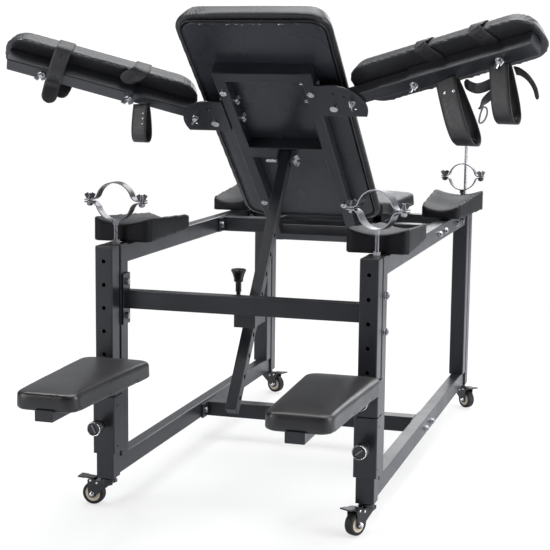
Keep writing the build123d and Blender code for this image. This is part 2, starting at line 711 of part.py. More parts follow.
def half_ring(ring, upper):
    """an arc, a reverse curve each side, and a flat ear"""
    radius, end = ring.radius, ring.end_angle
    sine = math.sin(math.radians(end))
    curl = (radius * sine - EAR_Z) / (1 - sine)     # reverse curve radius
    cx, cz = polar((0, 0), radius + curl, end)      # its centre
    left, right = (-cx, cz), (cx, cz)
    ear_x = ring.bolt_x + 8
    middle = 270 + (90 - end) / 2

    def contour(k):
        """one face of the strip: k = 1 outside the middle line, -1 inside it"""
        z = EAR_Z + k * HALF_T
        r, c = radius + k * HALF_T, curl - k * HALF_T
        return [
            Line((-ear_x, z), (-cx, z)),
            ThreePointArc((-cx, z), polar(left, c, middle), polar(left, c, 360 - end)),
            ThreePointArc(*[polar((0, 0), r, a) for a in (180 - end, 90, end)]),
            ThreePointArc(polar(right, c, 180 + end), polar(right, c, 540 - middle), (cx, z)),
            Line((cx, z), (ear_x, z)),
        ]

    edges = contour(1) + contour(-1)
    edges += [Line((x, EAR_FACE), (x, EAR_Z - HALF_T)) for x in (-ear_x, ear_x)]
    half = extrude(Plane.XZ * make_face(edges), RING_W / 2, both=True)
    for q in SIDES:
        half -= Pos(q * ring.bolt_x, 0, 0) * Cylinder(4.05, 40)
    return half if upper else mirror(half, Plane.XY)


def ring_base(ring):
    """lower half on its stem, and the two ear bolts"""
    bottom = -(ring.radius + HALF_T)
    stem_foot = TOP_Z - 14 - ring.split_z
    base = half_ring(ring, False)
    base += rod((0, 0, stem_foot), UP, 5.0, bottom + 0.5 - stem_foot)
    base += hexagon((0, 0, ABOVE_CAP - ring.split_z), UP, 15, 7)
    base += hexagon((0, 0, bottom - 8.6), UP, 13, 8.9)
    pieces = [base]
    for q in SIDES:
        x = q * ring.bolt_x
        bolt = rod((x, 0, -EAR_FACE - 8), UP, 4.0, 2 * EAR_FACE + 8 + 12)
        pieces.append(bolt + hexagon((x, 0, -EAR_FACE - 0.1), (0, 0, -1), 13, 6))
    return pieces


def ring_top(ring):
    """upper half and the two bored wing nuts"""
    pieces = [half_ring(ring, True)]
    for q in SIDES:
        x = q * ring.bolt_x
        nut = Pos(x, 0, EAR_FACE + 0.1) * wing(1.0, 25)
        pieces.append(nut - rod((x, 0, -10), UP, 4.05, 60))
    return pieces


for name, ring in RINGS.items():
    place = Pos(ring.x, ring.y, ring.split_z) * Rot(0, 0, ring.yaw)
    save(f"ring_base_{name}", *[place * piece for piece in ring_base(ring)])
    save(f"ring_top_{name}", *[place * piece for piece in ring_top(ring)])
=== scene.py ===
"""Padded positioning frame on castors: a reclined backrest, a seat, limb pads, and two arm trays
that carry straps.

It stands on z = 0 with its front towards +Y, its right side towards +X and the backrest leaning
back towards -Y. Lengths are in metres. Places on the backrest and on the arms are given in
millimetres in frames of their own.
"""
import json
import math
from functools import partial
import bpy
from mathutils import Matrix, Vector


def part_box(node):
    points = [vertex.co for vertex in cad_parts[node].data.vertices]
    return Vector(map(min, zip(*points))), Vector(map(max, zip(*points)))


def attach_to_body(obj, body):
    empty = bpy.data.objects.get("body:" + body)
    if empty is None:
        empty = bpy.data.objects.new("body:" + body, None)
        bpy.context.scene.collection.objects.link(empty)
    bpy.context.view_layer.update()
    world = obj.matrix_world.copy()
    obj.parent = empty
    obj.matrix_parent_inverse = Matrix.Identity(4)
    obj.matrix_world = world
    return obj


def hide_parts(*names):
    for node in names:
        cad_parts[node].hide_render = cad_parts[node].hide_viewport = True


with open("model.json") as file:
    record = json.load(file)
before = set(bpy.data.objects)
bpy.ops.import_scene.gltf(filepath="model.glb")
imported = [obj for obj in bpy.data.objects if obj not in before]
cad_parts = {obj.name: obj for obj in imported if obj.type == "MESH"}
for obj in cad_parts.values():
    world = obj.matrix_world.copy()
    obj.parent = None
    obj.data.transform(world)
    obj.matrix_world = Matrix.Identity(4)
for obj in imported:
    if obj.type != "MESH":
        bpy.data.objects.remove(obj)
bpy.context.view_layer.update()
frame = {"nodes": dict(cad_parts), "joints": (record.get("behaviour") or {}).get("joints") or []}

from types import SimpleNamespace

import bpy
import numpy as np
from mathutils import Matrix, Vector
from mathutils.bvhtree import BVHTree

scene = bpy.context.scene
NODES = frame["nodes"]
JOINTS = {joint["name"]: joint for joint in frame["joints"]}
MM = 0.001

# ---------------------------------------------------------------- local frames
post_low, post_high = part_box("outer_posts")
MID_Y = (post_low.y + post_high.y) / 2
LEAN = math.radians(50.0)     # of the backrest's rails, from upright
BACK_ORIGIN = np.array([0.0, 0.064 + MID_Y, 0.526])
X_DIR = np.array([1.0, 0.0, 0.0])
UP_RAILS = np.array([0.0, -math.sin(LEAN), math.cos(LEAN)])
REARWARD = np.array([0.0, -math.cos(LEAN), -math.sin(LEAN)])     # square to the rails


def on_back(x, rise, depth):
    """point on the backrest: x, rise up the rails, depth in front of their rear plane, in mm"""
    return BACK_ORIGIN + (X_DIR * x + UP_RAILS * rise - REARWARD * depth) / 1000.0


def back_depth(points):
    return -((points - BACK_ORIGIN) @ REARWARD) * 1000.0


def back_rise(points):
    return ((points - BACK_ORIGIN) @ UP_RAILS) * 1000.0


class Arm:
    """frame of one arm tray: along its tube, across it, and square to the backrest's plane"""

    def __init__(self, side):
        self.body = f"arm_tray_{side}"
        self.pivot = np.array(JOINTS[f"arm_{side}_swing"]["pos_m"], float)
        self.along = np.array(JOINTS[f"arm_{side}_extend"]["axis"], float)
        self.along /= np.linalg.norm(self.along)
        self.across = np.cross(REARWARD, self.along)
        self.up = 1.0 if side == "right" else -1.0     # across times this points up
        level = np.array([self.along[0], self.along[1], 0.0])
        self.level = level / np.linalg.norm(level)
        self.ahead = np.array([-self.level[1], self.level[0], 0])     # level, towards the front
        if self.ahead[1] < 0:
            self.ahead = -self.ahead

    def point(self, along, across, back):
        """point from distances in mm; back is positive behind the pivot"""
        return self.pivot + (self.along * along + self.across * across + REARWARD * back) / 1000.0

    def below(self, along, drop, ahead=0.0):
        """point straight below the line 15 mm in front of the axis, moved ahead, in mm"""
        fall = np.array([0, 0, -drop / 1000.0])
        return self.point(along, 0, -15) + fall + self.ahead * ahead / 1000.0


ARMS = {"right": Arm("right"), "left": Arm("left")}

# ---------------------------------------------------------------- shader nodes


class Shader:
    """a node tree with short ways to add and join its nodes"""

    def __init__(self, tree):
        self.tree = tree

    def node(self, kind):
        return self.tree.nodes.new("ShaderNode" + kind)

    def feed(self, socket, value):
        """set a socket to a number or colour, or link an output to it"""
        if isinstance(value, tuple):
            socket.default_value = (*value, 1)
        elif isinstance(value, (int, float)):
            socket.default_value = value
        else:
            self.tree.links.new(value, socket)

    def surface(self, name, value):
        self.feed(self.tree.nodes["Principled BSDF"].inputs[name], value)

    def coords(self, stretch=(1, 1, 1)):
        source = self.node("TexCoord")
        mapping = self.node("Mapping")
        mapping.inputs["Scale"].default_value = stretch
        self.feed(mapping.inputs["Vector"], source.outputs["Object"])
        return mapping.outputs["Vector"]

    def noise(self, vector, scale, detail=3.0, rough=0.55, distort=0.0):
        node = self.node("TexNoise")
        self.feed(node.inputs["Scale"], scale)
        self.feed(node.inputs["Detail"], detail)
        self.feed(node.inputs["Roughness"], rough)
        self.feed(node.inputs["Distortion"], distort)
        self.feed(node.inputs["Vector"], vector)
        return node.outputs["Fac"]

    def cells(self, vector, scale):
        node = self.node("TexVoronoi")
        node.feature = "F1"
        self.feed(node.inputs["Scale"], scale)
        self.feed(node.inputs["Vector"], vector)
        return node.outputs["Distance"]

    def remap(self, value, old, new):
        node = self.node("MapRange")
        for name, limit in zip(("From Min", "From Max", "To Min", "To Max"), (*old, *new)):
            self.feed(node.inputs[name], limit)
        self.feed(node.inputs["Value"], value)
        return node.outputs["Result"]

    def math(self, operation, first, second):
        node = self.node("Math")
        node.operation = operation
        self.feed(node.inputs[0], first)
        self.feed(node.inputs[1], second)
        return node.outputs[0]

    def add(self, first, second):
        return self.math("ADD", first, second)

    def times(self, first, second):
        return self.math("MULTIPLY", first, second)

    def ramp(self, value, start, low, stop, high):
        """colour running from low at start to high at stop"""
        node = self.node("ValToRGB")
        ends = node.color_ramp.elements
        ends[0].position, ends[0].color = start, (*low, 1)
        ends[1].position, ends[1].color = stop, (*high, 1)
        self.feed(node.inputs["Fac"], value)
        return node.outputs["Color"]

    def bump(self, height, strength, distance, normal=None):
        node = self.node("Bump")
        self.feed(node.inputs["Strength"], strength)
        self.feed(node.inputs["Distance"], distance)
        self.feed(node.inputs["Height"], height)
        if normal is not None:
            self.feed(node.inputs["Normal"], normal)
        return node.outputs["Normal"]

    def mix(self, factor, first, second):
        node = self.node("Mix")
        node.data_type = "RGBA"
        self.feed(node.inputs[0], factor)
        self.feed(node.inputs[6], first)
        self.feed(node.inputs[7], second)
        return node.outputs[2]

    def edges(self, radius):
        """1 on sharp edges and 0 elsewhere, and the rounded normal"""
        bevel = self.node("Bevel")
        bevel.samples = 4
        self.feed(bevel.inputs["Radius"], radius)
        geometry = self.node("NewGeometry")
        dot = self.node("VectorMath")
        dot.operation = "DOT_PRODUCT"
        self.feed(dot.inputs[0], bevel.outputs["Normal"])
        self.feed(dot.inputs[1], geometry.outputs["Normal"])
        mask = self.remap(dot.outputs["Value"], old=(0.985, 0.90), new=(0.0, 1.0))
        return mask, bevel.outputs["Normal"]


def new_material(name):
    material = bpy.data.materials.new(name)
    material.use_nodes = True
    return material, Shader(material.node_tree)


def tint(colour, gain, lift=0.0):
    return tuple(min(1.0, channel * gain + lift) for channel in colour)


# ---------------------------------------------------------------- materials


def painted_steel(name, base=(0.0115, 0.0120, 0.0155), rough=0.34, coat=0.12):
    """satin powder coat: orange peel, faint cloudy gloss, and edges lightened in patches, partly as
    wear and partly as a painted highlight
    """
    material, sh = new_material(name)
    place = sh.coords()
    peel = sh.noise(place, scale=520, detail=2.0, rough=0.5)
    fine = sh.noise(place, scale=2600, detail=2.0, rough=0.6)
    cloud = sh.noise(place, scale=9, detail=4.0, rough=0.6)
    scuff = sh.noise(sh.coords(stretch=(1, 1, 0.18)), scale=70, detail=6.0, rough=0.75, distort=0.8)
    edge, normal = sh.edges(radius=0.0012)
    patches = sh.noise(place, scale=45, detail=5.0, rough=0.7)
    # lighter edge colour in patches: partly edge wear, partly a painted highlight standing in for
    # light caught on the rounded tube corners
    wear_and_edge_highlight = sh.times(edge, sh.remap(patches, old=(0.5, 0.66), new=(0.15, 0.9)))
    colour = sh.ramp(cloud, start=0.3, low=tint(base, 0.85), stop=0.7, high=tint(base, 1.25))
    scuffed = sh.remap(scuff, old=(0.66, 0.78), new=(0.0, 0.35))
    colour = sh.mix(scuffed, colour, (0.03, 0.03, 0.034))
    sh.surface("Base Color", sh.mix(wear_and_edge_highlight, colour, (0.10, 0.10, 0.11)))
    dull = sh.add(cloud, sh.times(scuff, 0.5))
    sh.surface("Roughness", sh.remap(dull, old=(0.4, 1.1), new=(rough - 0.07, rough + 0.1)))
    height = sh.add(peel, sh.times(fine, 0.4))
    sh.surface("Normal", sh.bump(height, strength=0.16, distance=0.0004, normal=normal))
    sh.surface("Coat Weight", coat)
    sh.surface("Specular IOR Level", 0.42)
    sh.surface("Coat Roughness", 0.22)
    return material


def vinyl(name, base=(0.0085, 0.0085, 0.0102), rough=0.40, grain=620, depth=0.30, sheen=0.05,
          spec=0.5, creased=0.10):
    """upholstery vinyl: pebbled grain, soft creases, polished high spots"""
    material, sh = new_material(name)
    place = sh.coords()
    wobble = sh.noise(place, scale=300, detail=2.0)
    shifted = sh.node("VectorMath")
    shifted.operation = "ADD"
    offset = sh.node("CombineXYZ")
    for i in range(3):
        sh.feed(offset.inputs[i], sh.times(wobble, 0.0016))
    sh.feed(shifted.inputs[0], place)
    sh.feed(shifted.inputs[1], offset.outputs[0])
    pebbles = sh.cells(shifted.outputs[0], scale=grain)
    coarse = sh.cells(shifted.outputs[0], scale=grain * 0.42)
    crease = sh.noise(sh.coords(), scale=26, detail=5.0, rough=0.6, distort=1.1)
    cloud = sh.noise(place, scale=7, detail=3.0, rough=0.5)
    colour = sh.ramp(cloud, start=0.3, low=tint(base, 0.8), stop=0.72, high=tint(base, 1.35))
    raised = sh.remap(pebbles, old=(0.0, 0.5), new=(0.0, 0.35))
    sh.surface("Base Color", sh.mix(raised, colour, tint(base, 1.9)))
    gloss = sh.remap(cloud, old=(0.3, 0.7), new=(rough - 0.05, rough + 0.06))
    polish = sh.remap(pebbles, old=(0.0, 0.6), new=(0.06, -0.03))
    sh.surface("Roughness", sh.add(gloss, polish))
    height = sh.add(sh.times(pebbles, -0.7), sh.times(coarse, -0.5))
    folds = sh.bump(crease, strength=creased, distance=0.004)
    sh.surface("Specular IOR Level", spec)
    sh.surface("Normal", sh.bump(height, strength=depth, distance=0.0005, normal=folds))
    sh.surface("Sheen Weight", sheen)
    sh.surface("Sheen Roughness", 0.4)
    return material


def leather(name, base=(0.015, 0.0148, 0.0165), rough=0.42):
    """strap leather: tight grain, fibrous gloss and greyer cut edges"""
    material, sh = new_material(name)
    place = sh.coords()
    grain = sh.cells(place, scale=1100)
    fibre = sh.noise(place, scale=160, detail=5.0, rough=0.7)
    cloud = sh.noise(place, scale=28, detail=4.0, rough=0.6)
    edge, normal = sh.edges(radius=0.0008)
    colour = sh.ramp(cloud, start=0.3, low=tint(base, 0.75), stop=0.72, high=tint(base, 1.5))
    sh.surface("Base Color", sh.mix(sh.times(edge, 0.6), colour, (0.07, 0.066, 0.064)))
    sh.surface("Roughness", sh.remap(fibre, old=(0.3, 0.7), new=(rough - 0.07, rough + 0.12)))
    height = sh.add(sh.times(grain, -0.6), sh.times(fibre, 0.5))
    sh.surface("Normal", sh.bump(height, strength=0.35, distance=0.0004, normal=normal))
    return material


def zinc(name, base=(0.72, 0.73, 0.75), rough=0.24):
    """bright zinc plate: fine streaks, cloudy lustre, and edges painted brighter as a highlight"""
    material, sh = new_material(name)
    place = sh.coords()
    streak = sh.noise(sh.coords(stretch=(1, 1, 0.25)), scale=300, detail=3.0, rough=0.55)
    cloud = sh.noise(place, scale=60, detail=4.0, rough=0.65)
    edge, normal = sh.edges(radius=0.0005)
    colour = sh.ramp(cloud, start=0.25, low=tint(base, 0.80), stop=0.75, high=base)
    # edges painted brighter in colour: a painted highlight on the rounded edges
    sh.surface("Base Color", sh.mix(sh.times(edge, 0.35), colour, tint(base, 1.6)))
    sh.surface("Metallic", 1.0)
    lustre = sh.add(cloud, streak)
    sh.surface("Roughness", sh.remap(lustre, old=(0.6, 1.4), new=(rough - 0.08, rough + 0.16)))
    sh.surface("Normal", sh.bump(streak, strength=0.12, distance=0.0002, normal=normal))
    return material


def plastic(name, base=(0.012, 0.012, 0.013), rough=0.33, texture=0.12, spec=0.5):
    """moulded plastic: faint flow texture, softly rounded edges, and edges painted lighter as a
    highlight
    """
    material, sh = new_material(name)
    place = sh.coords()
    fine = sh.noise(place, scale=1500, detail=2.0, rough=0.6)
    cloud = sh.noise(place, scale=40, detail=3.0, rough=0.55)
    edge, normal = sh.edges(radius=0.0007)
    colour = sh.ramp(cloud, start=0.3, low=tint(base, 0.88), stop=0.7, high=tint(base, 1.14))
    # edges painted lighter in colour: a painted highlight on the rounded edges
    sh.surface("Base Color", sh.mix(sh.times(edge, 0.25), colour, tint(base, 2.2, lift=0.02)))
    sh.surface("Roughness", sh.remap(cloud, old=(0.3, 0.7), new=(rough - 0.05, rough + 0.08)))
    sh.surface("Normal", sh.bump(fine, strength=texture, distance=0.0003, normal=normal))
    sh.surface("Specular IOR Level", spec)
    return material


STEEL = painted_steel("powder_coat")
FORK = painted_steel("fork_paint", base=(0.006, 0.006, 0.007), rough=0.22, coat=0.35)
VINYL = vinyl("pad_vinyl")
VINYL_TOP = vinyl("platform_vinyl", base=(0.008, 0.0078, 0.0085), rough=0.36, grain=560,
                  depth=0.26, sheen=0.04)
BOARD = vinyl("board_vinyl", base=(0.014, 0.0145, 0.019), rough=0.30, grain=900, depth=0.14,
              sheen=0.02, creased=0.02)
VINYL_PAD = vinyl("limb_pad_vinyl", base=(0.0055, 0.0055, 0.0066), rough=0.54, sheen=0.0,
                  spec=0.16, creased=0.06)
VINYL_SEAT = vinyl("seat_vinyl", base=(0.0065, 0.0065, 0.0076), rough=0.46, sheen=0.0, spec=0.26)
LEATHER = leather("strap_leather")
ZINC = zinc("zinc_plate")
CHROME = zinc("axle_chrome", base=(0.82, 0.82, 0.83), rough=0.16)
PLASTIC = plastic("black_plastic")
RING_ZINC = zinc("ring_zinc", base=(0.18, 0.18, 0.195), rough=0.28)
HARDWARE = zinc("hardware_zinc", base=(0.50, 0.51, 0.53), rough=0.26)
KNOB = plastic("knob_plastic", base=(0.011, 0.011, 0.012), rough=0.26, texture=0.08)
TYRE = plastic("tyre_rubber", base=(0.017, 0.017, 0.018), rough=0.52, texture=0.35, spec=0.35)
CREAM = plastic("hub_cream", base=(0.62, 0.53, 0.42), rough=0.40, texture=0.10)
# near-black material for the discs that stand for punched strap holes: painted shade in place of
# real openings
HOLE_SHADE = plastic("hole_painted_shade", base=(0.004, 0.004, 0.004), rough=0.7, texture=0.2, spec=0.2)


def cad_material(name):
    if name.startswith("ring_"):
        return RING_ZINC
    if name == "frame_hardware":
        return HARDWARE
    if name.startswith("arm_fasteners") or name == "backrest_fasteners":
        return ZINC
    if name.startswith("castor_fork"):
        return FORK
    if name.startswith("castor_pedal") or name == "post_caps":
        return PLASTIC
    if name.startswith("pull_pin"):
        return KNOB
    if name == "locking_pin":
        return FORK
    if "cushion" in name or name in ("limb_pads", "backrest_board"):
        return VINYL
    if name.startswith("arm_straps"):
        return LEATHER
    return STEEL


for name in NODES:
    slots = NODES[name].data.materials
    slots.clear()
    slots.append(cad_material(name))

# ---------------------------------------------------------------- mesh helpers


def attach(piece, body, replaced=None):
    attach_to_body(piece, body)
    if replaced:
        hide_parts(replaced)


def set_smooth(mesh):
    mesh.polygons.foreach_set("use_smooth", [True] * len(mesh.polygons))


def add_mesh(name, points, faces, materials, smooth=True, indices=None):
    mesh = bpy.data.meshes.new(name)
    mesh.from_pydata([tuple(map(float, point)) for point in points], [], faces)
    mesh.update()
    piece = bpy.data.objects.new(name, mesh)
    scene.collection.objects.link(piece)
    for material in materials:
        mesh.materials.append(material)
    if indices is not None:
        mesh.polygons.foreach_set("material_index", indices)
    if smooth:
        set_smooth(mesh)
    return piece


def skin(rings, count, closed=False):
    """quads between rings of count points each"""
    faces = []
    for i in range(rings if closed else rings - 1):
        j = (i + 1) % rings
        for k in range(count):
            l = (k + 1) % count
            faces.append((i * count + k, i * count + l, j * count + l, j * count + k))
    return faces


def first_cap(count):
    return tuple(range(count))[::-1]


def last_cap(rings, count):
    return tuple((rings - 1) * count + k for k in range(count))


def tangents(path, closed):
    if closed:
        steps = np.roll(path, -1, 0) - np.roll(path, 1, 0)
    else:
        steps = np.gradient(path, axis=0)
    return steps / np.linalg.norm(steps, axis=1)[:, None]


def run_lengths(path):
    return np.r_[0, np.cumsum(np.linalg.norm(np.diff(path, axis=0), axis=1))]


def resample(path, step, closed=False):
    """evenly spaced points along a path"""
    path = np.asarray(path, float)
    if closed:
        path = np.vstack([path, path[:1]])
    runs = run_lengths(path)
    count = max(4, int(round(runs[-1] / step)))
    stops = np.linspace(0, runs[-1], count + 1)
    if closed:
        stops = stops[:-1]
    return np.stack([np.interp(stops, runs, path[:, i]) for i in range(3)], 1)


def spline(control, steps):
    """Catmull-Rom through the control points"""
    knots = np.asarray(control, float)
    knots = np.vstack([2 * knots[0] - knots[1], knots, 2 * knots[-1] - knots[-2]])
    path = []
    for i in range(1, len(knots) - 2):
        p0, p1, p2, p3 = knots[i - 1:i + 3]
        for k in range(steps):
            t = k / steps
            path.append(0.5 * (2 * p1 + (p2 - p0) * t + (2 * p0 - 5 * p1 + 4 * p2 - p3) * t * t
                               + (3 * p1 - p0 - 3 * p2 + p3) * t ** 3))
    path.append(knots[-2])
    return np.array(path)


def cord(name, path, radius, material, closed=True, seg=8):
    """round cord swept along a path"""
    path = np.asarray(path, float)
    count = len(path)
    tangent = tangents(path, closed)
    side = np.cross(tangent, np.array([0.31, 0.17, 0.93]))     # any direction off the path
    side /= np.linalg.norm(side, axis=1)[:, None]
    other = np.cross(tangent, side)
    points = []
    for i in range(count):
        for k in range(seg):
            turn = 2 * math.pi * k / seg
            points.append(path[i] + radius * (math.cos(turn) * side[i] + math.sin(turn) * other[i]))
    faces = skin(count, seg, closed)
    if not closed:
        faces += [first_cap(seg), last_cap(count, seg)]
    return add_mesh(name, points, faces, [material])


def lathe(name, profile, origin, axis, materials, seg, flutes=0, flute_depth=0.0):
    """profile rows of radius, distance along the axis and, if not 0, material index of the band
    that ends there, turned about the axis"""
    axis = np.array(axis, float)
    axis /= np.linalg.norm(axis)
    helper = np.array([0, 0, 1.0]) if abs(axis[2]) < 0.9 else np.array([1.0, 0, 0])
    side = np.cross(axis, helper)
    side /= np.linalg.norm(side)
    other = np.cross(axis, side)
    origin = np.array(origin, float)
    bands = [row[2] if len(row) > 2 else 0 for row in profile]
    points = []
    for radius, travel, *_ in profile:
        for k in range(seg):
            turn = 2 * math.pi * k / seg
            reach = max(radius, 1e-5)
            if flutes and radius > flute_depth * 4:
                wave = (0.5 + 0.5 * math.cos(flutes * turn)) ** 2
                reach *= 1 - (flute_depth / radius) * wave
            points.append(origin + axis * travel
                          + reach * (math.cos(turn) * side + math.sin(turn) * other))
    rings = len(profile)
    faces = skin(rings, seg) + [first_cap(seg), last_cap(rings, seg)]
    indices = [band for band in bands[1:] for _ in range(seg)] + [bands[0], bands[-1]]
    return add_mesh(name, points, faces, materials, indices=indices)


def sharpen(piece, angle):
    split = piece.modifiers.new("es", "EDGE_SPLIT")
    split.split_angle = math.radians(angle)


def rounded_rectangle(x0, x1, y0, y1, radius):
    """closed outline, counter-clockwise, in mm, with a point about every 6 mm"""
    outline = []
    corners = ((x1 - radius, y1 - radius, 0), (x0 + radius, y1 - radius, 90),
               (x0 + radius, y0 + radius, 180), (x1 - radius, y0 + radius, 270))
    for x, y, start in corners:
        for k in range(9):
            turn = math.radians(start + 90 * k / 8)
            outline.append((x + radius * math.cos(turn), y + radius * math.sin(turn), 0))
    return resample(np.array(outline), 6.0, True)


def get_points(mesh):
    points = np.zeros(len(mesh.vertices) * 3)
    mesh.vertices.foreach_get("co", points)
    return points.reshape(-1, 3)


def set_points(mesh, points):
    mesh.vertices.foreach_set("co", points.ravel())
    mesh.update()


def get_normals(mesh):
    normals = np.zeros(len(mesh.vertices) * 3, np.float32)
    mesh.vertices.foreach_get("normal", normals)
    return normals.reshape(-1, 3).astype(float)


def surface_tree(mesh):
    return BVHTree.FromPolygons([vertex.co[:] for vertex in mesh.vertices],
                                [face.vertices[:] for face in mesh.polygons])


# ---------------------------------------------------------------- padded pieces
CLOTH_FRAMES = 16
PADS = []

# outline of the backrest's cushion, mm
CUSHION_HALF = 178
CUSHION_LOW, CUSHION_TOP = 60, 806
CUSHION_MID = (CUSHION_LOW + CUSHION_TOP) / 2
# middle of an arm's cushion and board along the arm, mm
ARM_PAD_MID = 280


def relax(mesh, values, turns, strength=0.5, keep=True):
    """average values over neighbouring points; keep=True holds the volume"""
    ends = np.zeros(len(mesh.edges) * 2, np.int64)
    mesh.edges.foreach_get("vertices", ends)
    ends = ends.reshape(-1, 2)
    size = len(values)
    valence = np.maximum(np.bincount(ends.ravel(), minlength=size), 1).astype(float)[:, None]
    for _ in range(turns):
        for step in ((strength, -strength * 0.94) if keep else (strength,)):
            total = np.zeros_like(values)
            for i in range(values.shape[1]):
                total[:, i] = (np.bincount(ends[:, 0], values[ends[:, 1], i], size)
                               + np.bincount(ends[:, 1], values[ends[:, 0], i], size))
            values = values + (total / valence - values) * step
    return values


def make_pad(node, name, voxel, inset, material, pin, cap, body, shape, stiffness=22.0):
    """copy of a CAD cushion, remeshed evenly and drawn in by inset, ready to be inflated.
    pin(points) marks those that stay put; cap limits the travel; shape is applied at the end"""
    source = NODES[node]
    mesh = source.data.copy()
    piece = bpy.data.objects.new(name, mesh)
    scene.collection.objects.link(piece)
    mesh.materials.clear()
    remesh = piece.modifiers.new("rm", "REMESH")
    remesh.mode = "VOXEL"
    remesh.voxel_size = voxel
    depsgraph = bpy.context.evaluated_depsgraph_get()
    mesh = bpy.data.meshes.new_from_object(piece.evaluated_get(depsgraph))
    piece.modifiers.clear()
    piece.data = mesh
    mesh.name = name
    mesh.materials.clear()
    mesh.materials.append(material)
    points = get_points(mesh)
    tree = surface_tree(source.data)
    for i in range(len(points)):
        points[i] = tree.find_nearest(Vector(points[i]))[0]
    set_points(mesh, points)
    normals = relax(mesh, get_normals(mesh), 2, keep=False)
    normals /= np.maximum(np.linalg.norm(normals, axis=1), 1e-6)[:, None]
    fixed = pin(points)
    points = points - normals * inset * (~fixed)[:, None]
    set_points(mesh, points)
    group = piece.vertex_groups.new(name="pin")
    group.add([int(i) for i in np.nonzero(fixed)[0]], 1.0, "REPLACE")
    set_smooth(mesh)
    PADS.append(SimpleNamespace(
        piece=piece, points=points, normals=normals, node=node, fixed=fixed, inset=inset,
        cap=cap, body=body, shape=shape, stiffness=stiffness))


def limited(move, cap):
    """moves shortened smoothly so that none is longer than cap"""
    length = np.linalg.norm(move, axis=1)[:, None]
    return move * (cap * np.tanh(length / cap) / np.maximum(length, 1e-9))


def add_cloth(pad):
    cloth = pad.piece.modifiers.new("cloth", "CLOTH")
    settings = cloth.settings
    settings.quality = 4
    settings.mass = 0.35
    settings.tension_stiffness = settings.compression_stiffness = pad.stiffness
    settings.shear_stiffness = 12.0
    settings.bending_stiffness = 1.2
    settings.use_pressure = True
    settings.uniform_pressure_force = 4.0
    settings.vertex_group_mass = "pin"
    settings.effector_weights.gravity = 0.0
    cloth.collision_settings.use_collision = False
    cloth.point_cache.frame_start = 1
    cloth.point_cache.frame_end = CLOTH_FRAMES


def inflate():
    """one pass of cloth with air pressure for every pad, then a cap on each point's travel"""
    for pad in PADS:
        add_cloth(pad)
    scene.frame_start, scene.frame_end = 1, CLOTH_FRAMES
    for number in range(1, CLOTH_FRAMES + 1):
        scene.frame_set(number)
    depsgraph = bpy.context.evaluated_depsgraph_get()
    blown = [get_points(pad.piece.evaluated_get(depsgraph).data) for pad in PADS]
    for pad, points in zip(PADS, blown):
        pad.piece.modifiers.clear()
        mesh = pad.piece.data
        move = np.nan_to_num(points - pad.points)
        move = relax(mesh, limited(move, pad.cap), 60, 0.6, keep=False)
        # keep the outward part and a fifth of the sideways part
        outward = (move * pad.normals).sum(1)[:, None] * pad.normals
        move = relax(mesh, outward + (move - outward) * 0.2, 12, 0.6, keep=False)
        pad.points = pad.points + limited(move, pad.cap)
    scene.frame_set(1)


def tuck(points, normals, centre, along, across, length, half, amount, waves=1.0, sharp=1.0):
    """parallel tucks: a patch at centre, running along one way, repeating across the other"""
    away = points - centre
    run, offset = away @ along, away @ across
    patch = (np.exp(-(run / length) ** 2 * 2) * np.exp(-(np.abs(offset) / half) ** 3)
             * np.exp(-((away * away).sum(1) / (length * 1.5) ** 2) ** 2))
    fold = np.cos(offset / half * math.pi * waves + 0.8 * np.sin(run / length * 2.3))
    fold = -np.abs(fold) ** sharp
    return points + normals * (amount * patch * (fold + 0.45))[:, None]


def tuck_row(points, normals, place, along, across, length, rows):
    """single tucks; rows of spot (turned into a point by place), amount and half width"""
    for spot, amount, half in rows:
        points = tuck(points, normals, place(spot), along, across, length, half, amount)
    return points


# rows of place in mm, amount and half width in metres
CORNER_TUCKS = ((-133, 0.0052, 0.0070), (-119, 0.0062, 0.0066), (-107, 0.0048, 0.0058),
                (-97, 0.0026, 0.0052))
TOP_TUCKS = ((-40, 0.0007, 0.012), (12, 0.0008, 0.014), (70, 0.0007, 0.012),
             (118, 0.0014, 0.008), (131, 0.0013, 0.007))
LEFT_TUCKS = ((212, 0.0014, 0.008), (232, 0.0018, 0.009), (255, 0.0012, 0.008),
              (140, 0.0012, 0.010), (412, 0.0009, 0.012), (600, 0.0008, 0.012))
RIGHT_TUCKS = ((180, 0.0009, 0.010), (330, 0.0008, 0.013), (660, 0.0008, 0.012))
# the same, with the place as distance along the arm and up from its axis
ARM_END_TUCKS = (((74, 38), 0.0014, 0.008), ((92, 52), 0.0012, 0.008), ((474, 50), 0.0012, 0.008),
                 ((490, 36), 0.0014, 0.008), ((500, 16), 0.0010, 0.008))
ARM_EDGE_TUCKS = tuple((along, 0.0006, 0.012) for along in (150, 205, 300, 330, 440))


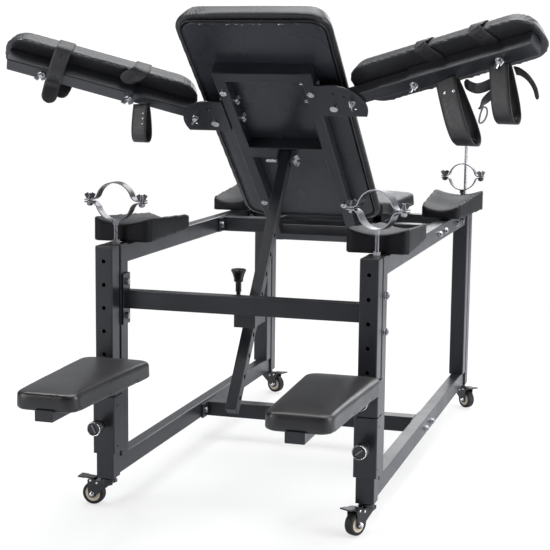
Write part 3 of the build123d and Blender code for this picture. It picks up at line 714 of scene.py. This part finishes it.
def shape_backrest(points, normals):
    """draw the front in by 15 mm, crown the top edge and gather the cover over the borders"""
    front = np.clip((back_depth(points) - 42) / 40, 0, 1) ** 1.2
    x, rise = points[:, 0] * 1000, back_rise(points)
    inward_x = -x * 15 * front / CUSHION_HALF
    inward_rise = -(rise - CUSHION_MID) * 15 * front / (CUSHION_TOP - CUSHION_MID)
    points = points + (np.outer(inward_x, X_DIR) + np.outer(inward_rise, UP_RAILS)) / 1000.0
    near_top = np.clip((rise - 700) / 90, 0, 1)
    crown = 5.0 * near_top * (1 - (x / CUSHION_HALF) ** 2)
    points = points + np.outer(crown / 1000.0, UP_RAILS)
    top, edge = CUSHION_TOP - 3, CUSHION_HALF - 2
    points = tuck_row(points, normals, lambda x: on_back(x, top, 55),
                      REARWARD, X_DIR, 0.036, CORNER_TUCKS)
    points = tuck_row(points, normals, lambda x: on_back(x, top, 52),
                      REARWARD, X_DIR, 0.030, TOP_TUCKS)
    points = tuck_row(points, normals, lambda rise: on_back(-edge, rise, 40),
                      REARWARD * 0.6 + UP_RAILS * 0.3, UP_RAILS - X_DIR * 0.35, 0.030, LEFT_TUCKS)
    return tuck_row(points, normals, lambda rise: on_back(edge, rise, 48),
                    REARWARD * 0.7 + UP_RAILS * 0.2, UP_RAILS + X_DIR * 0.3, 0.028, RIGHT_TUCKS)


def shape_arm_cushion(arm, points, normals):
    """draw the front in by 13 mm and tuck the upper edge"""
    half_length, half_width = 228, 64
    local = (points - arm.pivot) * 1000
    along, across, back = local @ arm.along, local @ arm.across, local @ REARWARD
    front = np.clip((-back - 38) / 36, 0, 1) ** 1.2
    points = points + (np.outer(-(along - ARM_PAD_MID) * 13 * front / half_length, arm.along)
                       + np.outer(-across * 13 * front / half_width, arm.across)) / 1000.0
    points = tuck_row(points, normals, lambda spot: arm.point(spot[0], arm.up * spot[1], -52),
                      REARWARD, arm.along, 0.022, ARM_END_TUCKS)
    return tuck_row(points, normals, lambda along: arm.point(along, arm.up * 63, -50),
                    REARWARD * 0.8 + arm.along * 0.4, arm.along, 0.020, ARM_EDGE_TUCKS)


def shape_limb_pads(points, normals):
    """hollow the tops along the middle, over a width that grows towards the ends"""
    middle_x = 0.287
    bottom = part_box("limb_pads")[0].z
    to_end = np.clip((np.abs(points[:, 1] - MID_Y) - 0.225) / 0.313, 0, 1)
    from_middle = np.abs(points[:, 0]) - middle_x
    half_width = 0.050 + 0.019 * np.where(np.abs(from_middle) < 0.1, to_end, 0)
    side = np.clip(from_middle / half_width, -1, 1)
    upper = np.clip((points[:, 2] - bottom - 0.012) / 0.022, 0, 1)
    points[:, 2] += upper * (0.0045 * side ** 2 - 0.0030 * (1 - side ** 2))
    return points


def shape_platform(node, points, normals):
    """let the skirt down, crown the top and widen the sides"""
    rim, skirt_drop, crown, spread = 0.010, 0.0040, 0.0035, 0.004
    low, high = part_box(node)
    skirt = np.clip((high.z - rim - points[:, 2]) / (high.z - low.z - rim), 0, 1)
    points[:, 2] -= skirt_drop * skirt
    top = np.clip((points[:, 2] - high.z + rim) / rim, 0, 1)
    side = (points[:, 0] - (low.x + high.x) / 2) / 0.074
    end = (points[:, 1] - (low.y + high.y) / 2) / ((high.y - low.y) / 2)
    points[:, 2] += crown * top * np.clip(1 - side ** 2, 0, 1) * np.clip(1 - end ** 4, 0, 1)
    points[:, 0] += spread * np.sign(side) * np.clip(np.abs(side), 0, 1) ** 3
    return points


def shape_seat(points, normals):
    """tucks across the two rear corners"""
    low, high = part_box("seat_cushion")
    for side in (-1, 1):
        centre = np.array([side * 0.15, low.y + 0.03, high.z - 0.012])
        points = tuck(points, normals, centre, along=np.array([side * 0.7, -0.7, 0]),
                      across=np.array([0.7, side * 0.7, 0]), length=0.03, half=0.03,
                      amount=0.0012, waves=2.5, sharp=1.5)
    return points


def pin_bottom(node):
    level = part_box(node)[0].z + 0.004
    return lambda points: points[:, 2] < level


def pin_back(points):
    """the part of the backrest's cushion that sits on its board"""
    rise = back_rise(points)
    return ((back_depth(points) < 43.5) & (np.abs(points[:, 0]) < 0.1605)
            & (rise > 76) & (rise < 790))


def pin_arm(arm, points):
    return ((points - arm.pivot) @ REARWARD) > -0.0372


make_pad("backrest_cushion", "backrest_upholstery", voxel=0.0052, inset=0.0030, material=VINYL,
         pin=pin_back, cap=0.010, body="backrest", shape=shape_backrest)
make_pad("seat_cushion", "seat_upholstery", voxel=0.0060, inset=0.0045, material=VINYL_SEAT,
         pin=pin_bottom("seat_cushion"), cap=0.010, body="frame", shape=shape_seat)
make_pad("limb_pads", "limb_pad_upholstery", voxel=0.0046, inset=0.0006, material=VINYL_PAD,
         pin=pin_bottom("limb_pads"), cap=0.0055, body="frame", shape=shape_limb_pads,
         stiffness=40.0)
for side in ("left", "right"):
    arm = ARMS[side]
    make_pad(f"arm_cushion_{side}", f"arm_upholstery_{side}", voxel=0.0050, inset=0.0032,
             material=VINYL, pin=partial(pin_arm, arm), cap=0.009, body=arm.body,
             shape=partial(shape_arm_cushion, arm))
    node = f"platform_cushion_{side}"
    make_pad(node, f"platform_upholstery_{side}", voxel=0.0050, inset=0.0010,
             material=VINYL_TOP, pin=pin_bottom(node), cap=0.0065, body=f"platform_{side}",
             shape=partial(shape_platform, node))
inflate()


def finish_pad(pad):
    """smooth, subdivide and shape an inflated pad"""
    piece = pad.piece
    set_points(piece.data, relax(piece.data, pad.points, 10))
    subdivision = piece.modifiers.new("sub", "SUBSURF")
    subdivision.levels = subdivision.render_levels = 1
    depsgraph = bpy.context.evaluated_depsgraph_get()
    mesh = bpy.data.meshes.new_from_object(piece.evaluated_get(depsgraph))
    piece.modifiers.clear()
    piece.data = mesh
    mesh.name = piece.name + "_cover"
    set_points(mesh, pad.shape(get_points(mesh), get_normals(mesh)))
    set_smooth(mesh)
    attach(piece, pad.body, pad.node)


for pad in PADS:
    finish_pad(pad)

# ---------------------------------------------------------------- boards, piping, staples


def backrest_panel():
    """covered board behind the backrest: eased edges, rear face slightly wavy, sunk at bolts"""
    half_x, low, high, radius = 159.5, 78.5, 787.5, 33.5
    rear, front = 30.4, 41.5
    mid, half_rise = (low + high) / 2, (high - low) / 2
    border = 3.5
    # rows of inset, depth and share of the way to the middle
    rows = [(0.0, front, 0), (0.0, rear + 1.8, 0), (0.5, rear + 0.8, 0), (1.6, rear + 0.15, 0),
            (border, rear, 0)]
    rows += [(border, rear, k / 14.0) for k in range(1, 15)]
    outline = rounded_rectangle(-half_x, half_x, low, high, radius)
    points = []
    for inset, depth, share in rows:
        fade = min(share * 6, 1.0)
        for x, rise, _ in outline:
            x = x * (1 - inset / half_x) * (1 - share * 0.985)
            rise = mid + (rise - mid) * (1 - inset / half_rise) * (1 - share * 0.985)
            dent = 0.35 * math.sin(x * 0.045 + 0.6) * math.sin(rise * 0.021 + 1.1) * fade
            for bolt_x in (-101, 101):
                for bolt_rise in (168, 591):
                    gap = (x - bolt_x) ** 2 + (rise - bolt_rise) ** 2
                    dent += 0.8 * math.exp(-gap / 420.0) * fade
            points.append(on_back(x, rise, depth + max(dent, -0.1)))
    rings, count = len(rows), len(outline)
    faces = skin(rings, count) + [last_cap(rings, count), first_cap(count)]
    panel = add_mesh("backrest_panel", points, faces, [BOARD])
    attach(panel, "backrest", "backrest_board")


def backrest_piping():
    """two lines of piping round the rear border"""
    # inset from the cushion's outline, cord radius, depth, material
    lines = ((13.2, 1.9, 31.2, VINYL), (20.6, 1.3, 30.2, BOARD))
    for k, (inset, radius, depth, material) in enumerate(lines):
        outline = rounded_rectangle(-CUSHION_HALF + inset, CUSHION_HALF - inset,
                                    CUSHION_LOW + inset, CUSHION_TOP - inset, 46 - inset * 0.72)
        path = [on_back(x, rise, depth) for x, rise, _ in outline]
        piping = cord(f"backrest_piping_{k}", path, radius / 1000, material)
        attach(piping, "backrest")


def backrest_staples():
    """uneven row of staples along the top of the rear panel"""
    half_length, stand, sink = 0.0036, 0.0003, 0.0009
    # x in mm, tilt in radians
    staples = ((-112, 0.2), (-86, -0.3), (-52, 0.1), (-45, 0.5), (-31, -0.2), (-18, 0.3),
               (-4, 0.0), (6, -0.5), (22, 0.2), (41, -0.1), (63, 0.3), (70, -0.3), (104, 0.1))
    for i, (x, tilt) in enumerate(staples):
        centre = on_back(x, 783.2 + 1.2 * math.sin(i * 2.3), 29.9)
        arm = (X_DIR * math.cos(tilt) + UP_RAILS * math.sin(tilt)) * half_length
        path = np.array([centre - arm - REARWARD * sink, centre - arm * 0.85 + REARWARD * stand,
                         centre, centre + arm * 0.85 + REARWARD * stand,
                         centre + arm - REARWARD * sink])
        staple = cord(f"staple_{i}", path, 0.00045, CHROME, closed=False, seg=6)
        attach(staple, "backrest")


def arm_board(side, arm):
    """board under an arm's cushion, its rear edge eased"""
    half_length, half_width = 225, 61
    outline = rounded_rectangle(ARM_PAD_MID - half_length, ARM_PAD_MID + half_length,
                                -half_width, half_width, 49)
    points = []
    for inset, back in ((0, -36.0), (0, -33.7), (1.0, -33.2), (2.5, -33.0)):
        for x, y, _ in outline:
            along = ARM_PAD_MID + (x - ARM_PAD_MID) * (1 - inset / half_length)
            points.append(arm.point(along, y * (1 - inset / half_width), back))
    count = len(outline)
    faces = skin(4, count) + [last_cap(4, count), first_cap(count)]
    board = add_mesh(f"arm_board_{side}", points, faces, [BOARD])
    sharpen(board, 50)
    attach(board, arm.body)


backrest_panel()
backrest_piping()
backrest_staples()
for side, arm in ARMS.items():
    arm_board(side, arm)

# ---------------------------------------------------------------- straps
STRAP_WIDTH, STRAP_THICKNESS, STRAP_STEP = 0.036, 0.0028, 0.003

# strap's section: half widths sideways, edge roundings added, half thicknesses
STRAP_SECTION = (
    (-1, 0, 0.5), (-1, 1, 1.0), (-0.6, 0, 1.0), (0, 0, 1.0), (0.6, 0, 1.0), (1, -1, 1.0),
    (1, 0, 0.5), (1, 0, -0.5), (1, -1, -1.0), (0.6, 0, -1.0), (0, 0, -1.0), (-0.6, 0, -1.0),
    (-1, 1, -1.0), (-1, 0, -0.5))

# punched holes (dark discs of painted shade), small pins and domed studs: profile, segments,
# material, slot
FITTINGS = {
    "hole": (((0.0019, -0.0006), (0.0023, 0.0001), (0.0015, 0.00012), (0.0012, -0.0004)),
             14, HOLE_SHADE, "strap_leather"),
    "pin": (((0.0022, -0.0004), (0.0023, 0.0004), (0.0018, 0.0011), (0.0003, 0.0015)),
            14, CHROME, "zinc_steel"),
    "stud": (((0.0036, -0.0004), (0.0038, 0.0006), (0.0031, 0.0016), (0.0017, 0.0022),
              (0.0003, 0.0024)), 18, CHROME, "zinc_steel"),
}


def strap(name, path, across, body, width=STRAP_WIDTH, tips=(False, False), kind="hole",
          spots=()):
    """flat strap along a path, with its width across (one vector or one per point).
    tips: which ends are rounded; spots: (distance along, offset) of fittings of one kind"""
    count = len(path)
    tangent = tangents(path, False)
    side = np.broadcast_to(np.asarray(across, float), (count, 3)).copy()
    side -= (side * tangent).sum(1)[:, None] * tangent
    side /= np.linalg.norm(side, axis=1)[:, None]
    normal = np.cross(tangent, side)
    runs = run_lengths(path)
    half = np.full(count, width / 2)
    for rounded, run in zip(tips, (runs, runs[-1] - runs)):
        if rounded:
            share = np.clip(run / (width * 0.5), 0, 1)
            arc = np.sqrt(np.clip(1 - (1 - share) ** 2, 0.02, 1))
            half = np.minimum(half, width / 2 * arc)
    rounding = STRAP_THICKNESS * 0.32
    points = [path[i] + side[i] * (sideways * half[i] + eased * rounding)
              + normal[i] * (level * STRAP_THICKNESS / 2)
              for i in range(count) for sideways, eased, level in STRAP_SECTION]
    section = len(STRAP_SECTION)
    faces = skin(count, section) + [first_cap(section), last_cap(count, section)]
    attach(add_mesh(name, points, faces, [LEATHER]), body)

    profile, seg, material, slot = FITTINGS[kind]
    number = 0
    for distance, offset in spots:
        i = int(np.argmin(abs(runs - distance)))
        for face in (1, -1):
            centre = path[i] + side[i] * offset + normal[i] * face * STRAP_THICKNESS / 2
            fitting = lathe(f"{name}_{kind}{number}", profile, centre, normal[i] * face,
                            [material], seg)
            attach(fitting, body)
            number += 1


def strap_path(control, steps=10):
    return resample(spline(control, steps), STRAP_STEP)


COVERS = {side: surface_tree(bpy.data.objects[f"arm_upholstery_{side}"].data)
          for side in ("left", "right")}

# wrapping straps: rows of share of the shift along the arm, height across it, back, mm
WRAP_FRONT = ((0, -55, -78.5), (0, 20, -79.5), (0, 46, -78.0), (0, 62, -70.5), (0, 67.6, -56),
              (0, 67.0, -40))
WRAP_TAILS = {
    "hanging": ((0.25, 58, -27), (0.5, 36, -8), (0.6, 21, 5.0), (0.75, 0, 6.6), (1, -20, 6.2)),
    "short": ((0.25, 58, -27), (0.7, 46, -22), (1, 27, -17)),
    "slanted": ((0.2, 62.5, -33), (0.45, 50, -30.6), (0.75, 34, -30.2), (1, 15, -31)),
}
TAIL_HANG = np.array([0, -0.004, -0.046])     # free end of the hanging tail


def hug(side, path):
    """draw the part of a path that crosses the pad onto its cover"""
    drawn = path.copy()
    back = (path - ARMS[side].pivot) @ REARWARD * 1000
    for i, point in enumerate(path):
        weight = min(max((-back[i] - 33.5) / 8.0, 0), 1)
        if weight <= 0:
            break
        place, normal, _, _ = COVERS[side].find_nearest(Vector(point))
        on_cover = np.array(place) + np.array(normal) * 0.0024
        drawn[i] = point * (1 - weight) + on_cover * weight
    for _ in range(6):
        drawn[1:-1] = drawn[1:-1] * 0.5 + (drawn[:-2] + drawn[2:]) * 0.25
    return resample(drawn, STRAP_STEP)


def wrap(side, key, start, end, tail, spots):
    """strap up the front of the cushion, over its upper edge and down behind it, shifting
    from start to end along the arm (mm)"""
    arm = ARMS[side]
    shift = end - start
    control = [arm.point(start + shift * share, arm.up * height, back)
               for share, height, back in WRAP_FRONT + WRAP_TAILS[tail]]
    if tail == "hanging":
        last = control[-1]
        control += [last + TAIL_HANG * k + arm.along * 0.010 * k for k in (0.33, 0.66, 1.0)]
    path = hug(side, strap_path(control, 12))
    across = arm.along
    if tail == "slanted":
        back = (path - arm.pivot) @ REARWARD * 1000
        lean = np.clip((back + 62) / 30, 0, 1) * shift / 45.0
        across = arm.along[None, :] + np.outer(lean, arm.across * arm.up)
    strap(f"strap_{side}_{key}", path, across, arm.body, tips=(True, tail != "slanted"),
          spots=spots)


# strap loop's outline: share of the drop, share of the depth; rear side down, front side up
LOOP_OUTLINE = (
    (0.0, -0.16), (0.2, -0.30), (0.45, -0.43), (0.7, -0.50), (0.88, -0.44), (0.975, -0.24),
    (1.0, 0.0),
    (0.975, 0.24), (0.88, 0.44), (0.7, 0.50), (0.45, 0.43), (0.2, 0.30), (0.0, 0.16))


def hanging_loop(side, key, top, drop, across, through, depth, width, kind="hole", spots=()):
    """band hanging in a loop from top by the vector drop, depth wide in the direction through"""
    control = [top + np.array(drop) * fall + np.array(through) * depth * share
               for fall, share in LOOP_OUTLINE]
    strap(f"loop_{side}_{key}", strap_path(control), across, ARMS[side].body, width=width,
          kind=kind, spots=spots)


def loose_strap(key, side, stations, across, width, tips, steps=10, spots=()):
    """strap through stations of distance along the arm, drop below it and place ahead, mm"""
    arm = ARMS[side]
    path = strap_path([arm.below(*station) for station in stations], steps)
    strap(f"strap_{side}_{key}", path, across, arm.body, width=width, tips=tips, spots=spots)


def buckle_ring(arm):
    """upright oval ring, flattened on one side"""
    centre = arm.below(374, 116)
    flat = 0.004
    ring = []
    for k in range(28):
        turn = 2 * math.pi * k / 28
        x, z = math.cos(turn) * 0.0105, math.sin(turn) * 0.0165
        if x < -flat:
            x = -flat - (abs(x) - flat) * 0.35
        ring.append(centre + arm.level * (x * 0.9 + z * 0.25) + np.array([0, 0, z]))
    buckle = cord("buckle_ring", np.array(ring), 0.0019, RING_ZINC, seg=10)
    attach(buckle, arm.body)


left, right = ARMS["left"], ARMS["right"]
RIGHT_HOLES = ((0.146, -0.004), (0.156, -0.004))
wrap("left", "outer", 371, 384, "hanging",
     [(run, 0) for run in (0.150, 0.157, 0.205, 0.219, 0.238)])
wrap("left", "inner", 192, 226, "short", [(run, 0) for run in (0.150, 0.157, 0.166)])
wrap("right", "inner", 252, 272, "slanted", RIGHT_HOLES)
wrap("right", "outer", 382, 400, "slanted", RIGHT_HOLES)
# second end of the outer left strap, hanging in front of the tube
loose_strap("outer_end", "left", ((364, 20, 30), (368, 32, 26), (375, 45, 22), (382, 57, 20)),
            across=left.along, width=STRAP_WIDTH, tips=(False, True), steps=8)
hanging_loop("left", "inner", left.below(180, 20), drop=(0.0, 0.0, -0.086),
             across=(0.985, -0.174, 0.0), through=(0.174, 0.985, 0.0), depth=0.028, width=0.038,
             kind="pin", spots=((0.020, 0.010), (0.032, 0.010), (0.044, 0.010)))
hanging_loop("right", "inner", right.below(286, 20),
             drop=right.below(348, 178) - right.below(292, 26), across=right.level,
             through=right.ahead, depth=0.050, width=0.046,
             kind="stud", spots=((0.034, 0.013), (0.030, -0.007)))
hanging_loop("right", "outer", right.below(412, 22),
             drop=right.below(437, 156) - right.below(414, 30), across=right.level,
             through=right.ahead, depth=0.044, width=0.043)
# cross strap between the two right loops, the buckle with its strap, and the curved free end
loose_strap("cross", "right",
            ((318, 34, 20), (336, 48, 12), (362, 58, 6), (392, 52, 16), (412, 38, 28)),
            across=(0.05, -0.25, 1.0), width=0.022, tips=(True, True))
loose_strap("buckle_end", "right", ((408, 66, 20), (394, 74, 10), (376, 88, 4), (366, 102, 2)),
            across=(0.45, -0.30, 0.9), width=0.020, tips=(False, False))
buckle_ring(right)
loose_strap("free_end", "right",
            ((436, 40, 22), (455, 48, 10), (478, 66, 0), (494, 90, -2), (500, 114, 0)),
            across=(0.35, -0.85, 0.35), width=0.020, tips=(False, True),
            spots=((0.050, 0), (0.065, 0), (0.080, 0)))
# the outer wraps stand for the two CAD strap nodes
for side in ("left", "right"):
    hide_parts(f"arm_straps_{side}")

# ---------------------------------------------------------------- castors
# half section of a wheel in mm: radius, distance from the middle plane, material index
# (0 tyre, 1 cream hub, 2 black centre)
WHEEL_HALF = [
    (4.3, 9.2, 2), (7.0, 9.7, 2), (9.3, 9.7, 2), (9.5, 9.2, 1), (10.2, 8.9, 1), (13.6, 8.5, 1),
    (16.8, 8.9, 1), (17.4, 9.3, 1), (17.6, 8.6, 0), (18.6, 8.6, 0), (19.6, 9.8, 0),
    (21.6, 9.9, 0), (23.4, 9.3, 0), (24.5, 7.9, 0), (24.95, 5.5, 0), (25.0, 2.6, 0),
    (24.75, 2.2, 0), (24.75, 1.6, 0), (25.0, 1.2, 0)]
# a band takes its material from its second row, so the mirrored half's are shifted by one
mirrored = WHEEL_HALF[::-1]
WHEEL = [(radius * MM, travel * MM, band) for radius, travel, band in WHEEL_HALF]
WHEEL += [(radius * MM, -travel * MM, band)
          for (radius, travel, _), (_, _, band) in zip(mirrored, mirrored[:1] + mirrored[:-1])]
AXLE_NUT = ((0.0062, 0.0144), (0.0064, 0.0150), (0.0058, 0.0168), (0.0052, 0.0172),
            (0.0050, 0.0186), (0.0032, 0.0201), (0.0004, 0.0206))
RIVET = ((0.0029, 0.0144), (0.0030, 0.0152), (0.0023, 0.0164), (0.0010, 0.0169),
         (0.0002, 0.0170))
RIVET_PLACES = ((22, 51), (37, 55.2))     # mm out from the swivel, mm above the floor


def castor(place):
    """wheel, and chrome axle nuts and rivets on both cheeks of the fork"""
    roll = JOINTS[f"wheel_{place}_roll"]
    centre, axis = np.array(roll["pos_m"], float), np.array(roll["axis"], float)
    wheel = lathe(f"wheel_{place}", WHEEL, centre, axis, [TYRE, CREAM, PLASTIC], 56)
    sharpen(wheel, 38)
    attach(wheel, f"wheel_{place}", f"castor_wheel_{place}")
    swivel = np.array(JOINTS[f"castor_{place}_swivel"]["pos_m"], float)
    outward = centre - np.array([swivel[0], swivel[1], centre[2]])
    outward /= np.linalg.norm(outward)
    for cheek, sign in (("a", -1), ("b", 1)):
        nut = lathe(f"axle_nut_{place}_{cheek}", AXLE_NUT, centre, axis * sign, [CHROME], 28)
        sharpen(nut, 35)
        attach(nut, f"castor_{place}")
        for i, (reach, height) in enumerate(RIVET_PLACES):
            spot = (np.array([swivel[0], swivel[1], 0]) + outward * reach * MM
                    + np.array([0, 0, height * MM]))
            rivet = lathe(f"rivet_{place}_{cheek}{i}", RIVET, spot, axis * sign, [CHROME], 18)
            attach(rivet, f"castor_{place}")


for place in ("rear_left", "rear_right", "front_left", "front_right"):
    castor(place)

# ---------------------------------------------------------------- knobs
FACE_RECESS = 0.0030
# pull knob: radius, distance back from the rear end, material index (0 plastic, 1 chrome)
PULL_KNOB = (
    (0.0045, 0.0452, 1), (0.0080, 0.0450, 0), (0.0080, 0.0262, 0), (0.0105, 0.0245, 0),
    (0.0150, 0.0238, 0), (0.0159, 0.0225, 0), (0.0160, 0.0040, 0), (0.0158, 0.0018, 0),
    (0.0156, 0.0009, 0), (0.0153, 0.0003, 1), (0.0149, 0.0, 1), (0.0143, 0.0002, 1),
    (0.0141, 0.0016, 1), (0.0139, 0.0026, 0), (0.0004, FACE_RECESS, 0))
BAR_ANGLES = {"left": math.radians(118), "right": math.radians(38)}
BAR_HALF_LENGTH, BAR_HALF_WIDTH = 0.0098, 0.0019
LOCK_KNOB = (
    (0.0070, -0.0265), (0.0096, -0.0258), (0.0100, -0.0240), (0.0108, -0.0160),
    (0.0136, -0.0080), (0.0161, -0.0030), (0.0165, 0.0002), (0.0160, 0.0016), (0.0135, 0.0024),
    (0.0003, 0.0028))


def pull_knob(node, side):
    """fluted knob pointing to the rear, with a raised diagonal bar across its face"""
    low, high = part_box(node)
    base = np.array([(low.x + high.x) / 2, high.y, (low.z + high.z) / 2])
    length = high.y - low.y
    profile = [(0.0044, 0.0, 1), (0.0045, 0.0008, 1)]
    profile += [(radius, length - back, band) for radius, back, band in PULL_KNOB]
    knob = lathe(node + "_knob", profile, base, (0, -1, 0), [KNOB, CHROME], 96,
                 flutes=24, flute_depth=0.0007)
    sharpen(knob, 42)
    attach(knob, node, node)

    face = base + np.array([0, -(length - FACE_RECESS), 0])
    cos, sin = math.cos(BAR_ANGLES[side]), math.sin(BAR_ANGLES[side])
    along, across = np.array([cos, 0, sin]), np.array([-sin, 0, cos])
    points = []
    for y, scale in ((0.0, 1.0), (-0.0018, 1.0), (-0.0026, 0.86)):
        for end, edge in ((-1, -1), (1, -1), (1, 1), (-1, 1)):
            points.append(face + along * end * BAR_HALF_LENGTH * scale
                          + across * edge * BAR_HALF_WIDTH * scale + np.array([0, y, 0]))
    faces = skin(3, 4) + [last_cap(3, 4), first_cap(4)]
    bar = add_mesh(node + "_bar", points, faces, [RING_ZINC], smooth=False)
    attach(bar, node)


def locking_knob():
    """fluted knob on top of the locking pin"""
    low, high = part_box("locking_pin")
    base = (low.x + 0.016, (low.y + high.y) / 2, high.z)
    knob = lathe("locking_pin_knob", LOCK_KNOB, base, (0, 0, 1), [KNOB], 72,
                 flutes=16, flute_depth=0.0010)
    attach(knob, "lock_pin")


for side in ("left", "right"):
    for level in ("lower", "upper"):
        pull_knob(f"pull_pin_{level}_{side}", side)
locking_knob()

# ---------------------------------------------------------------- floor, world, lights, camera


def floor_material():
    """pale floor; for the camera it glows and fades to plain white away from the product"""
    material, sh = new_material("floor_pale")
    place = sh.coords()
    camera_ray = sh.node("LightPath").outputs["Is Camera Ray"]
    sh.surface("Base Color", sh.mix(camera_ray, (0.62, 0.63, 0.66), (0.93, 0.93, 0.935)))
    blotches = sh.noise(place, scale=1.5)
    sh.surface("Roughness", sh.remap(blotches, old=(0.3, 0.7), new=(0.62, 0.72)))
    sh.surface("Specular IOR Level", 0.2)
    distance = sh.node("VectorMath")
    distance.operation = "LENGTH"
    sh.feed(distance.inputs[0], place)
    glow = sh.node("Emission")
    sh.feed(glow.inputs["Strength"], 1.0)
    blend = sh.node("MixShader")
    fade = sh.remap(distance.outputs["Value"], old=(0.7, 2.6), new=(0.62, 1.0))
    sh.feed(blend.inputs[0], sh.times(camera_ray, fade))
    nodes = sh.tree.nodes
    sh.feed(blend.inputs[1], nodes["Principled BSDF"].outputs[0])
    sh.feed(blend.inputs[2], glow.outputs[0])
    sh.feed(nodes["Material Output"].inputs["Surface"], blend.outputs[0])
    return material


FLOOR_HALF, FLOOR_Z = 30, -0.0006
floor = add_mesh("floor", [(x * FLOOR_HALF, y * FLOOR_HALF, FLOOR_Z)
                           for x, y in ((-1, -1), (1, -1), (1, 1), (-1, 1))],
                 [(0, 1, 2, 3)], [floor_material()], smooth=False)


def studio_world():
    """bright in front, above and to the right, dim to the rear; near white for the camera"""
    gain_x, gain_y, gain_z = 0.30, 0.40, 0.45
    base, least, seen = 0.12, 0.06, 1.05     # added level, lower limit, level for the camera
    world = bpy.data.worlds.new("studio")
    scene.world = world
    world.use_nodes = True
    sh = Shader(world.node_tree)
    background = sh.tree.nodes["Background"]
    source = sh.node("TexCoord")
    axes = sh.node("SeparateXYZ")
    sh.feed(axes.inputs[0], source.outputs["Generated"])
    level = sh.add(sh.times(axes.outputs["Y"], gain_y), sh.times(axes.outputs["X"], gain_x))
    level = sh.add(level, sh.times(axes.outputs["Z"], gain_z))
    level = sh.math("MAXIMUM", sh.add(level, base), least)
    camera_ray = sh.node("LightPath").outputs["Is Camera Ray"]
    level = sh.math("MAXIMUM", level, sh.times(camera_ray, seen))
    sh.feed(background.inputs["Strength"], level)
    sh.feed(background.inputs["Color"], sh.mix(camera_ray, (0.93, 0.96, 1.0), (1.0, 1.0, 1.0)))


def area_light(name, place, target, size, energy):
    light = bpy.data.lights.new(name, "AREA")
    light.shape = "RECTANGLE"
    light.size, light.size_y = size
    light.energy = energy
    lamp = bpy.data.objects.new(name, light)
    scene.collection.objects.link(lamp)
    lamp.location = place
    aim = Vector(target) - Vector(place)
    lamp.rotation_euler = aim.to_track_quat("-Z", "Y").to_euler()


def add_camera():
    """camera to the right and rear, turned left by azimuth and tipped down by pitch"""
    azimuth = math.radians(16.476513667939724)
    pitch = math.radians(8.21765586646574)
    roll = math.radians(0.634062028013056)
    position = (0.915309716334759, -3.4035996869491716 + MID_Y, 0.9554399860940855)
    forward = np.array([-math.sin(azimuth) * math.cos(pitch),
                        math.cos(azimuth) * math.cos(pitch), -math.sin(pitch)])
    level = np.array([math.cos(azimuth), math.sin(azimuth), 0.0])
    upright = np.cross(level, forward)
    sideways = level * math.cos(roll) + upright * math.sin(roll)
    upward = -level * math.sin(roll) + upright * math.cos(roll)
    data = bpy.data.cameras.new("camera")
    data.sensor_width = 36.0
    data.lens = 92.521680448
    camera = bpy.data.objects.new("camera", data)
    scene.collection.objects.link(camera)
    camera.matrix_world = Matrix([*zip(sideways, upward, -forward, position), (0, 0, 0, 1)])
    data.clip_start, data.clip_end = 0.1, 60.0
    scene.camera = camera


studio_world()
area_light("top", place=(0.4, 0.5, 4.2), target=(0, 0, 0.4), size=(5.0, 4.0), energy=230)
area_light("right", place=(4.2, -0.6, 1.6), target=(0, 0, 0.6), size=(2.6, 2.6), energy=130)
area_light("left_rear", place=(-3.0, -3.4, 1.5), target=(0, -0.2, 0.6), size=(1.8, 2.4),
           energy=75)
area_light("spark", place=(-1.3, -0.6, 2.9), target=(-0.1, -0.2, 1.0), size=(0.35, 0.35),
           energy=16)
area_light("front", place=(0.5, 5.0, 2.4), target=(0, 0, 0.8), size=(4.0, 2.0), energy=80)
add_camera()
scene.view_settings.view_transform = "Standard"
scene.view_settings.look = "None"
